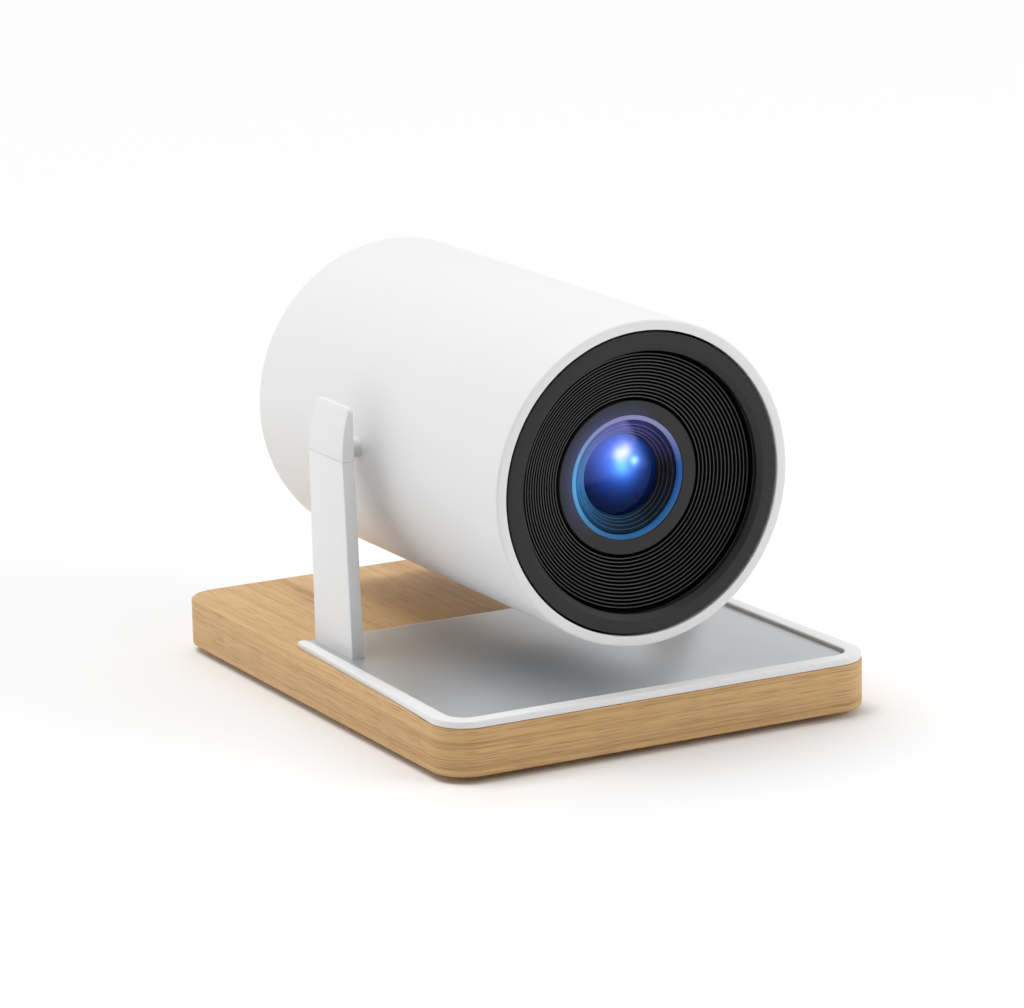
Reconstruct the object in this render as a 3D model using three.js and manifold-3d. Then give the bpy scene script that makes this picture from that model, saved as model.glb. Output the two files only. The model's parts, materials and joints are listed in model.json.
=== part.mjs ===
// A home projector: a white drum-shaped head that tilts in a two-armed yoke on a wooden board.
//
// Units are millimetres and +Z is up. The lens looks along -Y.
// Left and right are as seen from in front of the lens, so left is -X.
// The origin is on the table surface, under the middle of the board.
// The head's own group has its origin on the optical axis, so a head part's Z counts from that axis.

import * as THREE from 'three';
import { mergeVertices } from 'three/addons/utils/BufferGeometryUtils.js';
import Module from 'manifold-3d';

const wasm = await Module();
wasm.setup();

// ---------------------------------------------------------------- driving dimensions

const GAP = 0.3;
const FINE = 48;
const MEDIUM = 24;
const COARSE = 16;
const TINY = 10;

const BOARD_WIDTH = 178;
const BOARD_LENGTH = 227;
const BOARD_THICKNESS = 18.5;
const BOARD_CORNER = 14;
const BOARD_EDGE = 0.8;
const FOOT_HEIGHT = 2.3;
const FOOT_RADIUS = 9;
const FOOT_STEM_RADIUS = 3;
const FOOT_STEM_LENGTH = 5;
const FOOT_X = 70;
const FOOT_Y = 94;

const RIM_INSET = 0.3;
const RIM_WIDTH = 6;
const RIM_REAR_WIDTH = 4.2;
const RIM_REAR_LEAN = 4.1;
const RIM_HEIGHT = 2.1;
const RIM_GROOVE = 0.7;
const RIM_REAR_Y = 18;

const DECK_THICKNESS = 1.5;
const DECK_PROUD = 0.7;
const DECK_REVEAL = 1.2;
const DECK_REAR_Y = 20.7;

const PIVOT_Y = 11;
const AXIS_ABOVE_BOARD_BOTTOM = 93.4;

const ARM_OUTER_X = 76.1;
const ARM_THICKNESS = 5;
const ARM_FOOT_FRONT_Y = -12.2;
const ARM_FOOT_REAR_Y = 19.2;
const ARM_SEAM_FRONT_Y = -8.6;
const ARM_SEAM_REAR_Y = 19.8;
const ARM_TAB_LENGTH = 26;
const YOKE_PLATE = 3.5;
const CAP_HEIGHT = 20;
const CAP_TOP_THICKNESS = 1.8;
const CAP_TOP_FRONT_Y = -8.8;
const CAP_TOP_REAR_Y = 18;
const CAP_PEG_RADIUS = 1.2;
const CAP_PEG_LENGTH = 6;
const CAP_PEG_OFFSET = 11.8;

const SCREW_RADIUS = 1.8;
const SCREW_HEAD_RADIUS = 3.4;
const SCREW_HOLE_CLEARANCE = 0.3;
const YOKE_SCREW_X = 58;
const YOKE_SCREW_SPREAD = 8;
const YOKE_SCREW_LENGTH = 12.5;

const PIN_RADIUS = 2.5;
const PIN_HEAD_RADIUS = 4.2;
const PIN_HEAD_THICKNESS = 1.5;
const PIN_RIVET_RADIUS = 4.6;
const PIN_RIVET_THICKNESS = 2.4;
const ARM_INNER_SKIN = 1.4;
const WASHER_THICKNESS = 1;
const WASHER_RADIUS = 4;
const HUB_RADIUS = 4;

const SHELL_RADIUS = 60;
const SHELL_WALL = 2.5;
const SHELL_FRONT_Y = -98.6;
const SHELL_REAR_Y = 96.6;
const SHELL_EDGE = 0.6;
const SHELL_LIP_RADIUS = 56.1;
const SHELL_LIP_DEPTH = 4.6;

const BEZEL_RECESS = 0.5;
const BEZEL_FACE_RADIUS = 50.4;
const BEZEL_LIP_RADIUS = 48.3;
const BEZEL_LIP_DEPTH = 1.2;
const BAFFLE_FRONT_RADIUS = 49;
const BAFFLE_HOLE_RADIUS = 28.7;
const BAFFLE_WALL = 1.8;

const LENS_RING_RADIUS = 28.4;
const LENS_RING_DEPTH = 11.5;
const LENS_GLASS_RADIUS = 22.4;
const LENS_SEAT_DEPTH = 13.4;
const LENS_INNER_RADIUS = 14;

const REAR_RECESS = 0.5;
const REAR_WALL = 2.5;
const REAR_SKIRT = 10;

// ---------------------------------------------------------------- derived places

const BOARD_BOTTOM = FOOT_HEIGHT + GAP;
const BOARD_TOP = BOARD_BOTTOM + BOARD_THICKNESS;
const AXIS_Z = BOARD_BOTTOM + AXIS_ABOVE_BOARD_BOTTOM;
const RIM_INNER_X = BOARD_WIDTH / 2 - RIM_INSET - RIM_WIDTH;
const RIM_FRONT_Y = -BOARD_LENGTH / 2 + RIM_INSET;
const RIM_REAR_OUTER_X = BOARD_WIDTH / 2 - RIM_INSET - RIM_REAR_LEAN;
const DECK_FRONT_Y = RIM_FRONT_Y + RIM_WIDTH + DECK_REVEAL;
const DECK_CORNER = BOARD_CORNER - RIM_INSET - RIM_WIDTH - DECK_REVEAL;
const DECK_TOP = BOARD_TOP + DECK_PROUD;
const DECK_BOTTOM = DECK_TOP - DECK_THICKNESS;
const DECK_FLOOR = DECK_BOTTOM - GAP;
const TAB_TOP = DECK_FLOOR - 2 * GAP;
const TAB_BOTTOM = TAB_TOP - YOKE_PLATE;
const BAR_BOTTOM = TAB_BOTTOM - GAP - YOKE_PLATE;
const YOKE_FLOOR = BAR_BOTTOM - GAP;
const ARM_INNER_X = ARM_OUTER_X - ARM_THICKNESS;
const ARM_MIDDLE_Y = (ARM_FOOT_FRONT_Y + ARM_FOOT_REAR_Y) / 2;
const SEAM_MIDDLE_Y = (ARM_SEAM_FRONT_Y + ARM_SEAM_REAR_Y) / 2;
const SHELL_INNER_RADIUS = SHELL_RADIUS - SHELL_WALL;
const BEZEL_FRONT_Y = SHELL_FRONT_Y + BEZEL_RECESS;
const BEZEL_BACK_Y = BEZEL_FRONT_Y + BEZEL_LIP_DEPTH + 1.2;
const LENS_RING_Y = SHELL_FRONT_Y + LENS_RING_DEPTH;
const LENS_SEAT_Y = SHELL_FRONT_Y + LENS_SEAT_DEPTH;

// ---------------------------------------------------------------- materials

const FINISHES = {
  oak: { color: 0xc8a06a, roughness: 0.6, metalness: 0 },
  whitePaint: { color: 0xf1f1f0, roughness: 0.42, metalness: 0 },
  whitePlastic: { color: 0xececeb, roughness: 0.5, metalness: 0 },
  greyMetal: { color: 0xa9abae, roughness: 0.4, metalness: 0.7 },
  steel: { color: 0xb9bcc0, roughness: 0.35, metalness: 1 },
  aluminium: { color: 0xc9ccd0, roughness: 0.4, metalness: 0.9 },
  brass: { color: 0xc2a25a, roughness: 0.35, metalness: 1 },
  darkPlastic: { color: 0x3a3a3a, roughness: 0.5, metalness: 0 },
  blackPlastic: { color: 0x101010, roughness: 0.45, metalness: 0 },
  rubber: { color: 0x1c1c1c, roughness: 0.9, metalness: 0 },
  acetal: { color: 0xd9d6cc, roughness: 0.4, metalness: 0 },
  coatedGlass: { color: 0x3350b8, roughness: 0.05, metalness: 0, transparent: true, opacity: 0.5 },
  clearGlass: { color: 0xdfe9ee, roughness: 0.08, metalness: 0, transparent: true, opacity: 0.4 },
  panelGlass: { color: 0x22262c, roughness: 0.1, metalness: 0, transparent: true, opacity: 0.7 },
  circuitBoard: { color: 0x1f5a34, roughness: 0.5, metalness: 0 },
};

function piece(name, shape, finish) {
  const geometry = shape.isBufferGeometry ? shape : toGeometry(shape);
  const mesh = new THREE.Mesh(geometry, new THREE.MeshStandardMaterial(FINISHES[finish]));
  mesh.name = name;
  return mesh;
}

// ---------------------------------------------------------------- solids: joining and cutting

function toSolid(geometry) {
  const bare = geometry.clone();
  bare.deleteAttribute('normal');
  bare.deleteAttribute('uv');
  const merged = mergeVertices(bare, 1e-4);
  const corners = merged.index.array;
  const triangles = [];
  for (let i = 0; i < corners.length; i += 3) {
    const [a, b, c] = corners.slice(i, i + 3);
    if (a !== b && b !== c && c !== a) {
      triangles.push(a, b, c);
    }
  }
  const mesh = new wasm.Mesh({
    numProp: 3,
    vertProperties: new Float32Array(merged.attributes.position.array),
    triVerts: new Uint32Array(triangles),
  });
  return new wasm.Manifold(mesh);
}

function toGeometry(solid) {
  const mesh = solid.getMesh();
  const geometry = new THREE.BufferGeometry();
  geometry.setAttribute('position', new THREE.BufferAttribute(mesh.vertProperties, 3));
  geometry.setIndex(new THREE.BufferAttribute(mesh.triVerts, 1));
  geometry.computeVertexNormals();
  return geometry;
}

function join(first, ...others) {
  return others.reduce((sum, other) => sum.add(other), first);
}

function cut(first, ...tools) {
  return tools.reduce((rest, tool) => rest.subtract(tool), first);
}

// ---------------------------------------------------------------- solids: basic shapes

const X = new THREE.Vector3(1, 0, 0);
const Y = new THREE.Vector3(0, 1, 0);
const Z = new THREE.Vector3(0, 0, 1);

function box(xRange, yRange, zRange) {
  const [width, length, height] = [xRange, yRange, zRange].map(([low, high]) => high - low);
  const [x, y, z] = [xRange, yRange, zRange].map(([low, high]) => (low + high) / 2);
  return toSolid(new THREE.BoxGeometry(width, length, height).translate(x, y, z));
}

// A solid of revolution about the Y axis. The profile is a list of [radius, y] points.
function turned(profile, segments = FINE) {
  const points = profile.map(([radius, y]) => new THREE.Vector2(radius, y));
  if (THREE.ShapeUtils.area(points) < 0) {
    points.reverse();
  }
  const touchesAxis = points.some((point) => point.x === 0);
  if (touchesAxis) {
    while (points[0].x !== 0 || points[points.length - 1].x !== 0) {
      points.push(points.shift());
    }
  } else {
    points.push(points[0].clone());
  }
  return toSolid(new THREE.LatheGeometry(points, segments));
}

function rod(radius, yRange, x = 0, z = 0, segments = COARSE) {
  const [low, high] = yRange;
  const cylinder = new THREE.CylinderGeometry(radius, radius, high - low, segments);
  return toSolid(cylinder.translate(x, (low + high) / 2, z));
}

function rodAlongX(radius, xRange, y, z, segments = COARSE) {
  const [low, high] = xRange;
  const cylinder = new THREE.CylinderGeometry(radius, radius, high - low, segments);
  return toSolid(cylinder.rotateZ(-Math.PI / 2).translate((low + high) / 2, y, z));
}

function rodAlongZ(radius, zRange, x, y, segments = COARSE) {
  const [low, high] = zRange;
  const cylinder = new THREE.CylinderGeometry(radius, radius, high - low, segments);
  return toSolid(cylinder.rotateX(Math.PI / 2).translate(x, y, (low + high) / 2));
}

// A plane outline, extruded along the third of three axes: across, up, along.
function extruded(shape, across, up, along, start, length, bevel = 0) {
  const geometry = new THREE.ExtrudeGeometry(shape, {
    depth: length - 2 * bevel,
    curveSegments: 6,
    bevelEnabled: bevel > 0,
    bevelSize: bevel,
    bevelThickness: bevel,
    bevelOffset: -bevel,
    bevelSegments: 1,
  });
  geometry.translate(0, 0, start + bevel);
  geometry.applyMatrix4(new THREE.Matrix4().makeBasis(across, up, along));
  return toSolid(geometry);
}

function polygon(points) {
  return new THREE.Shape(points.map(([x, y]) => new THREE.Vector2(x, y)));
}

function roundedRectangle(low, high, radius) {
  const shape = new THREE.Shape();
  const quarter = Math.PI / 2;
  shape.moveTo(low[0] + radius, low[1]);
  shape.lineTo(high[0] - radius, low[1]);
  shape.absarc(high[0] - radius, low[1] + radius, radius, -quarter, 0);
  shape.lineTo(high[0], high[1] - radius);
  shape.absarc(high[0] - radius, high[1] - radius, radius, 0, quarter);
  shape.lineTo(low[0] + radius, high[1]);
  shape.absarc(low[0] + radius, high[1] - radius, radius, quarter, 2 * quarter);
  shape.lineTo(low[0], low[1] + radius);
  shape.absarc(low[0] + radius, low[1] + radius, radius, 2 * quarter, 3 * quarter);
  return shape;
}

// A plate of constant thickness lying across the optical axis.
function crossPlate(halfWidth, halfHeight, yRange, centreZ = 0) {
  return box([-halfWidth, halfWidth], yRange, [centreZ - halfHeight, centreZ + halfHeight]);
}

const SIDES = [
  ['left', -1],
  ['right', 1],
];

function spanOnSide(side, near, far) {
  return side < 0 ? [-far, -near] : [near, far];
}

// ---------------------------------------------------------------- stand: board, rim, deck, feet

const FEET = [
  ['front_left', -1, -1],
  ['front_right', 1, -1],
  ['rear_left', -1, 1],
  ['rear_right', 1, 1],
];

const YOKE_SCREWS = [
  ['left_front', -1, -1],
  ['left_rear', -1, 1],
  ['right_front', 1, -1],
  ['right_rear', 1, 1],
];

function yokeScrewPlace([, side, end]) {
  return [side * YOKE_SCREW_X, ARM_MIDDLE_Y + end * YOKE_SCREW_SPREAD];
}

function yokeScrewHoles(zRange) {
  const radius = SCREW_RADIUS + SCREW_HOLE_CLEARANCE;
  return YOKE_SCREWS.map((screw) => rodAlongZ(radius, zRange, ...yokeScrewPlace(screw), TINY));
}

// A flat band bent into a U that is open to the rear. Its legs lean in, and narrow to round ends.
function uShapedOutline(slack) {
  const outerX = BOARD_WIDTH / 2 - RIM_INSET + slack;
  const frontY = RIM_FRONT_Y - slack;
  const radius = BOARD_CORNER - RIM_INSET + slack;
  const width = RIM_WIDTH + 2 * slack;
  const innerRadius = radius - width;
  const innerX = outerX - width;
  const innerFrontY = frontY + width;
  const rearX = RIM_REAR_OUTER_X + slack;
  const endRadius = RIM_REAR_WIDTH / 2 + slack;
  const endX = rearX - endRadius;
  const endY = RIM_REAR_Y + slack - endRadius;
  const quarter = Math.PI / 2;
  const shape = new THREE.Shape();
  shape.moveTo(-rearX, endY);
  shape.lineTo(-outerX, frontY + radius);
  shape.absarc(-outerX + radius, frontY + radius, radius, 2 * quarter, 3 * quarter);
  shape.lineTo(outerX - radius, frontY);
  shape.absarc(outerX - radius, frontY + radius, radius, -quarter, 0);
  shape.lineTo(rearX, endY);
  shape.absarc(endX, endY, endRadius, 0, 2 * quarter);
  shape.lineTo(innerX, innerFrontY + innerRadius);
  shape.absarc(innerX - innerRadius, innerFrontY + innerRadius, innerRadius, 0, -quarter, true);
  shape.lineTo(-innerX + innerRadius, innerFrontY);
  shape.absarc(-innerX + innerRadius, innerFrontY + innerRadius, innerRadius, -quarter, -2 * quarter, true);
  shape.lineTo(-endX + endRadius, endY);
  shape.absarc(-endX, endY, endRadius, 0, 2 * quarter);
  return shape;
}

// Where the inner side of the rim's legs runs, at a given Y.
function rimInnerX(y) {
  const startY = RIM_FRONT_Y + BOARD_CORNER - RIM_INSET;
  const endY = RIM_REAR_Y - RIM_REAR_WIDTH / 2;
  const endX = RIM_REAR_OUTER_X - RIM_REAR_WIDTH;
  return RIM_INNER_X + ((endX - RIM_INNER_X) * (y - startY)) / (endY - startY);
}

// The deck's outline: its sides stay a fixed distance from the rim's legs.
function deckOutline(slack, rearY) {
  const frontY = DECK_FRONT_Y - slack;
  const corner = DECK_CORNER + slack;
  const frontX = rimInnerX(frontY + corner) - DECK_REVEAL + slack;
  const rearX = rimInnerX(rearY) - DECK_REVEAL + slack;
  const quarter = Math.PI / 2;
  const shape = new THREE.Shape();
  shape.moveTo(-rearX, rearY);
  shape.lineTo(-frontX, frontY + corner);
  shape.absarc(-frontX + corner, frontY + corner, corner, 2 * quarter, 3 * quarter);
  shape.lineTo(frontX - corner, frontY);
  shape.absarc(frontX - corner, frontY + corner, corner, -quarter, 0);
  shape.lineTo(rearX, rearY);
  return shape;
}

function rimSolid(slack) {
  const bottom = BOARD_TOP - RIM_GROOVE + GAP - slack;
  const bevel = slack > 0 ? 0 : 0.5;
  return extruded(uShapedOutline(slack), X, Y, Z, bottom, BOARD_TOP + RIM_HEIGHT - bottom, bevel);
}

function makeBoard() {
  const halfWidth = BOARD_WIDTH / 2;
  const halfLength = BOARD_LENGTH / 2;
  const outline = roundedRectangle([-halfWidth, -halfLength], [halfWidth, halfLength], BOARD_CORNER);
  const plank = extruded(outline, X, Y, Z, BOARD_BOTTOM, BOARD_THICKNESS, BOARD_EDGE);
  const deckHole = deckOutline(DECK_REVEAL - GAP, DECK_REAR_Y + GAP);
  const deckPocket = extruded(deckHole, X, Y, Z, DECK_FLOOR, DECK_THICKNESS + 1);
  const yokePocket = box(
    [-ARM_OUTER_X - GAP, ARM_OUTER_X + GAP],
    [ARM_FOOT_FRONT_Y - GAP, ARM_FOOT_REAR_Y + GAP],
    [YOKE_FLOOR, BOARD_TOP + 1],
  );
  const footHoles = FEET.map(([, side, end]) => rodAlongZ(
    FOOT_STEM_RADIUS + GAP,
    [BOARD_BOTTOM - 1, BOARD_BOTTOM + FOOT_STEM_LENGTH + GAP],
    side * FOOT_X,
    end * FOOT_Y,
    TINY,
  ));
  const screwHoles = yokeScrewHoles([TAB_TOP - YOKE_SCREW_LENGTH - 1, YOKE_FLOOR + 1]);
  const pockets = [rimSolid(GAP), deckPocket, yokePocket];
  return piece('base_board', cut(plank, ...pockets, ...footHoles, ...screwHoles), 'oak');
}

function makeRim() {
  return piece('rim_trim', rimSolid(0), 'whitePaint');
}

function makeDeck() {
  const plate = extruded(deckOutline(0, DECK_REAR_Y), X, Y, Z, DECK_BOTTOM, DECK_THICKNESS);
  const armSlots = SIDES.map(([, side]) => box(
    spanOnSide(side, ARM_INNER_X - GAP, ARM_OUTER_X + GAP),
    [ARM_FOOT_FRONT_Y - GAP, ARM_FOOT_REAR_Y + GAP],
    [DECK_BOTTOM - 1, DECK_TOP + 1],
  ));
  return piece('deck_plate', cut(plate, ...armSlots), 'greyMetal');
}

function makeFoot([place, side, end]) {
  const pad = rodAlongZ(FOOT_RADIUS, [0, FOOT_HEIGHT], 0, 0);
  const stemTop = BOARD_BOTTOM + FOOT_STEM_LENGTH;
  const stem = rodAlongZ(FOOT_STEM_RADIUS, [FOOT_HEIGHT - 0.5, stemTop], 0, 0, TINY);
  const foot = piece(`foot_${place}`, join(pad, stem), 'rubber');
  foot.position.set(side * FOOT_X, end * FOOT_Y, 0);
  return foot;
}

// ---------------------------------------------------------------- stand: yoke

function makeYokeBar() {
  const bar = box(
    [-ARM_OUTER_X, ARM_OUTER_X],
    [ARM_FOOT_FRONT_Y, ARM_FOOT_REAR_Y],
    [BAR_BOTTOM, BAR_BOTTOM + YOKE_PLATE],
  );
  const holes = yokeScrewHoles([BAR_BOTTOM - 1, TAB_BOTTOM + 1]);
  return piece('yoke_bar', cut(bar, ...holes), 'steel');
}

// The arm seen from the side. It narrows evenly from the board's top to the seam.
function armOutline() {
  return polygon([
    [ARM_FOOT_FRONT_Y, BOARD_TOP],
    [ARM_FOOT_REAR_Y, BOARD_TOP],
    [ARM_SEAM_REAR_Y, AXIS_Z - GAP / 2],
    [ARM_SEAM_FRONT_Y, AXIS_Z - GAP / 2],
  ]);
}

// The blind pocket that traps the head of the pivot pin, half in the arm and half in its cap.
function pinPocket(side) {
  const skin = ARM_INNER_X + ARM_INNER_SKIN;
  const throat = rodAlongX(PIN_RADIUS + GAP, spanOnSide(side, ARM_INNER_X - 1, skin + 1), PIVOT_Y, AXIS_Z);
  const headSpan = spanOnSide(side, skin, skin + PIN_HEAD_THICKNESS + 2 * GAP);
  return throat.add(rodAlongX(PIN_HEAD_RADIUS + GAP, headSpan, PIVOT_Y, AXIS_Z));
}

function capPegs(side, radius, length) {
  const x = side * (ARM_OUTER_X - ARM_THICKNESS / 2);
  return [-1, 1].map((end) => rodAlongZ(
    radius,
    [AXIS_Z - length, AXIS_Z + 2],
    x,
    SEAM_MIDDLE_Y + end * CAP_PEG_OFFSET,
    TINY,
  ));
}

function makeArm([name, side]) {
  const span = spanOnSide(side, ARM_INNER_X, ARM_OUTER_X);
  const post = extruded(armOutline(), Y, Z, X, span[0], ARM_THICKNESS);
  const foot = box(span, [ARM_FOOT_FRONT_Y, ARM_FOOT_REAR_Y], [TAB_BOTTOM, BOARD_TOP]);
  const tab = box(
    spanOnSide(side, ARM_OUTER_X - ARM_TAB_LENGTH, ARM_OUTER_X),
    [ARM_FOOT_FRONT_Y, ARM_FOOT_REAR_Y],
    [TAB_BOTTOM, TAB_TOP],
  );
  const holes = YOKE_SCREWS.filter((screw) => screw[1] === side).map((screw) => {
    const [x, y] = yokeScrewPlace(screw);
    return countersunkScrew(SCREW_HOLE_CLEARANCE, YOKE_PLATE + 2).translate([x, y, TAB_TOP]);
  });
  const pegHoles = capPegs(side, CAP_PEG_RADIUS + GAP, CAP_PEG_LENGTH + GAP);
  const arm = cut(join(post, foot, tab), pinPocket(side), ...holes, ...pegHoles);
  return piece(`arm_${name}`, arm, 'whitePaint');
}

// The cap above the pivot: its outer face leans in on an arc until the top is a thin edge.
function makeArmCap([name, side]) {
  const bottom = AXIS_Z + GAP / 2;
  const top = AXIS_Z + CAP_HEIGHT;
  const lean = ARM_THICKNESS - CAP_TOP_THICKNESS;
  const radius = (CAP_HEIGHT ** 2 + lean ** 2) / (2 * lean);
  const sweep = Math.asin(CAP_HEIGHT / radius);
  const outline = new THREE.Shape();
  outline.moveTo(bottom, ARM_INNER_X);
  outline.lineTo(bottom, ARM_OUTER_X);
  const steps = 8;
  for (let i = 1; i <= steps; i += 1) {
    const angle = (sweep * i) / steps;
    outline.lineTo(AXIS_Z + radius * Math.sin(angle), ARM_OUTER_X - radius * (1 - Math.cos(angle)));
  }
  outline.lineTo(top, ARM_INNER_X);
  const leaning = extruded(outline, Z, X, Y, ARM_SEAM_FRONT_Y - 20, 80);
  const sided = side < 0 ? leaning.mirror([1, 0, 0]) : leaning;
  const front = [CAP_TOP_FRONT_Y, top];
  const rear = [CAP_TOP_REAR_Y, top];
  const seam = [[ARM_SEAM_FRONT_Y, bottom], [ARM_SEAM_REAR_Y, bottom]];
  const blank = extruded(polygon([...seam, rear, front]), Y, Z, X, -100, 200);
  const cap = cut(sided.intersect(blank), pinPocket(side));
  return piece(`arm_cap_${name}`, join(cap, ...capPegs(side, CAP_PEG_RADIUS, CAP_PEG_LENGTH)), 'whitePaint');
}

// A countersunk screw pointing down, with the top of its head at the origin.
function countersunkScrew(slack, length) {
  const headRadius = SCREW_HEAD_RADIUS + slack;
  const shankRadius = SCREW_RADIUS + slack;
  const shank = rodAlongZ(shankRadius, [-length, -0.5], 0, 0, TINY);
  const headDepth = headRadius - shankRadius;
  const cone = new THREE.CylinderGeometry(headRadius, shankRadius, headDepth, TINY);
  cone.rotateX(Math.PI / 2).translate(0, 0, -headDepth / 2);
  return shank.add(toSolid(cone));
}

function makeYokeScrew(screw) {
  const [x, y] = yokeScrewPlace(screw);
  const driveSlot = box([-3, 3], [-0.5, 0.5], [-1, 1]);
  const solid = cut(countersunkScrew(0, YOKE_SCREW_LENGTH), driveSlot);
  const mesh = piece(`yoke_screw_${screw[0]}`, solid, 'steel');
  mesh.position.set(x, y, TAB_TOP - 0.1);
  return mesh;
}

function makeFrictionWasher([name, side]) {
  const outer = ARM_INNER_X - GAP;
  const span = spanOnSide(side, outer - WASHER_THICKNESS, outer);
  const disc = rodAlongX(WASHER_RADIUS, span, 0, 0);
  const hole = rodAlongX(PIN_RADIUS + GAP, [span[0] - 1, span[1] + 1], 0, 0);
  const washer = piece(`friction_washer_${name}`, cut(disc, hole), 'acetal');
  washer.position.set(0, PIVOT_Y, AXIS_Z);
  return washer;
}

// ---------------------------------------------------------------- head: pivots

function makePivotHub([name, side]) {
  const outer = ARM_INNER_X - 2 * GAP - WASHER_THICKNESS;
  const blank = rodAlongX(HUB_RADIUS, spanOnSide(side, SHELL_RADIUS - 4, outer), PIVOT_Y, 0);
  const drum = rod(SHELL_RADIUS + GAP, [-40, 60], 0, 0, 2 * FINE);
  const hole = rodAlongX(PIN_RADIUS + GAP, spanOnSide(side, 40, 80), PIVOT_Y, 0);
  return piece(`pivot_hub_${name}`, cut(blank, drum, hole), 'whitePlastic');
}

function makePivotPin([name, side]) {
  const headOuter = ARM_INNER_X + ARM_INNER_SKIN + GAP + PIN_HEAD_THICKNESS;
  const rivetOuter = SHELL_INNER_RADIUS - 1;
  const shaft = rodAlongX(PIN_RADIUS, spanOnSide(side, rivetOuter - 1, headOuter - 1), 0, 0);
  const headSpan = spanOnSide(side, headOuter - PIN_HEAD_THICKNESS, headOuter);
  const head = rodAlongX(PIN_HEAD_RADIUS, headSpan, 0, 0);
  const rivetSpan = spanOnSide(side, rivetOuter - PIN_RIVET_THICKNESS, rivetOuter);
  const rivet = rodAlongX(PIN_RIVET_RADIUS, rivetSpan, 0, 0);
  const pin = piece(`pivot_pin_${name}`, join(shaft, head, rivet), 'steel');
  pin.position.set(0, PIVOT_Y, 0);
  return pin;
}

// ---------------------------------------------------------------- head: casing

const SLOT_WIDTH = 2.6;
const SLOT_LENGTH = 22;
const SLOT_PITCH = 6;
const SLOT_ROWS_Y = [-12, 58];
const BOSS_X = 51.5;
const BOSS_RADIUS = 4.4;
const BOSS_SPAN_Y = [74, 92];
const REAR_SCREW_RADIUS = 1.5;

function makeShell() {
  const front = SHELL_FRONT_Y;
  const rear = SHELL_REAR_Y;
  const tube = turned([
    [SHELL_LIP_RADIUS, front],
    [SHELL_RADIUS - SHELL_EDGE, front],
    [SHELL_RADIUS, front + SHELL_EDGE],
    [SHELL_RADIUS, rear - SHELL_EDGE],
    [SHELL_RADIUS - SHELL_EDGE, rear],
    [SHELL_INNER_RADIUS, rear],
    [SHELL_INNER_RADIUS, front + SHELL_LIP_DEPTH],
    [SHELL_LIP_RADIUS, front + SHELL_LIP_DEPTH],
  ]);
  const bosses = SIDES.map(([, side]) => box(
    spanOnSide(side, BOSS_X - BOSS_RADIUS, SHELL_INNER_RADIUS + 1),
    BOSS_SPAN_Y,
    [-BOSS_RADIUS, BOSS_RADIUS],
  ));
  const bossHoles = SIDES.map(([, side]) => rod(
    REAR_SCREW_RADIUS + GAP,
    [BOSS_SPAN_Y[0] - 1, BOSS_SPAN_Y[1] + 1],
    side * BOSS_X,
    0,
    TINY,
  ));
  const pivotHole = rodAlongX(PIN_RADIUS + GAP, [-SHELL_RADIUS - 5, SHELL_RADIUS + 5], PIVOT_Y, 0);
  const slots = [];
  for (const middleY of SLOT_ROWS_Y) {
    for (let column = -2; column <= 2; column += 1) {
      const x = column * SLOT_PITCH;
      slots.push(box(
        [x - SLOT_WIDTH / 2, x + SLOT_WIDTH / 2],
        [middleY - SLOT_LENGTH / 2, middleY + SLOT_LENGTH / 2],
        [-SHELL_RADIUS - 1, -SHELL_RADIUS + 5],
      ));
    }
  }
  return piece('barrel_shell', cut(join(tube, ...bosses), pivotHole, ...bossHoles, ...slots), 'whitePaint');
}

function makeFrontBezel() {
  const outer = SHELL_LIP_RADIUS - GAP;
  const wall = 1.6;
  const front = BEZEL_FRONT_Y;
  return piece('front_bezel', turned([
    [outer, front],
    [outer, front + 9],
    [outer - wall, front + 9],
    [outer - wall, BEZEL_BACK_Y],
    [BEZEL_LIP_RADIUS, BEZEL_BACK_Y],
    [BEZEL_LIP_RADIUS, front + BEZEL_LIP_DEPTH],
    [BEZEL_FACE_RADIUS, front],
  ]), 'darkPlastic');
}

function makeBaffleCone() {
  const outer = SHELL_LIP_RADIUS - GAP - 1.6 - GAP;
  const front = BEZEL_BACK_Y + GAP;
  return piece('baffle_cone', turned([
    [outer, front],
    [BAFFLE_FRONT_RADIUS, front],
    [BAFFLE_HOLE_RADIUS, LENS_RING_Y],
    [BAFFLE_HOLE_RADIUS, LENS_RING_Y + 5],
    [BAFFLE_HOLE_RADIUS + BAFFLE_WALL, LENS_RING_Y + 5],
    [BAFFLE_HOLE_RADIUS + BAFFLE_WALL, LENS_RING_Y + BAFFLE_WALL],
    [BAFFLE_FRONT_RADIUS, front + BAFFLE_WALL],
    [outer, front + BAFFLE_WALL],
  ]), 'blackPlastic');
}

// ---------------------------------------------------------------- head: rear end

const KEYS_Z = 45;
const KEYS = [
  ['volume_down_button', -15, 3.4],
  ['power_button', 0, 4.6],
  ['volume_up_button', 15, 3.4],
];
const KEY_PROUD = 0.9;
const KEY_FLANGE = 1;
const KEY_FLANGE_THICKNESS = 1;
const KEY_STEM_RADIUS = 1.4;
const KEY_TRAVEL = 0.8;
const REAR_FACE_Y = SHELL_REAR_Y - REAR_RECESS;
const KEY_BOARD_Y = 86;
const BOARD_SHEET = 1.6;
const SWITCH_HEIGHT = 3.2;

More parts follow.
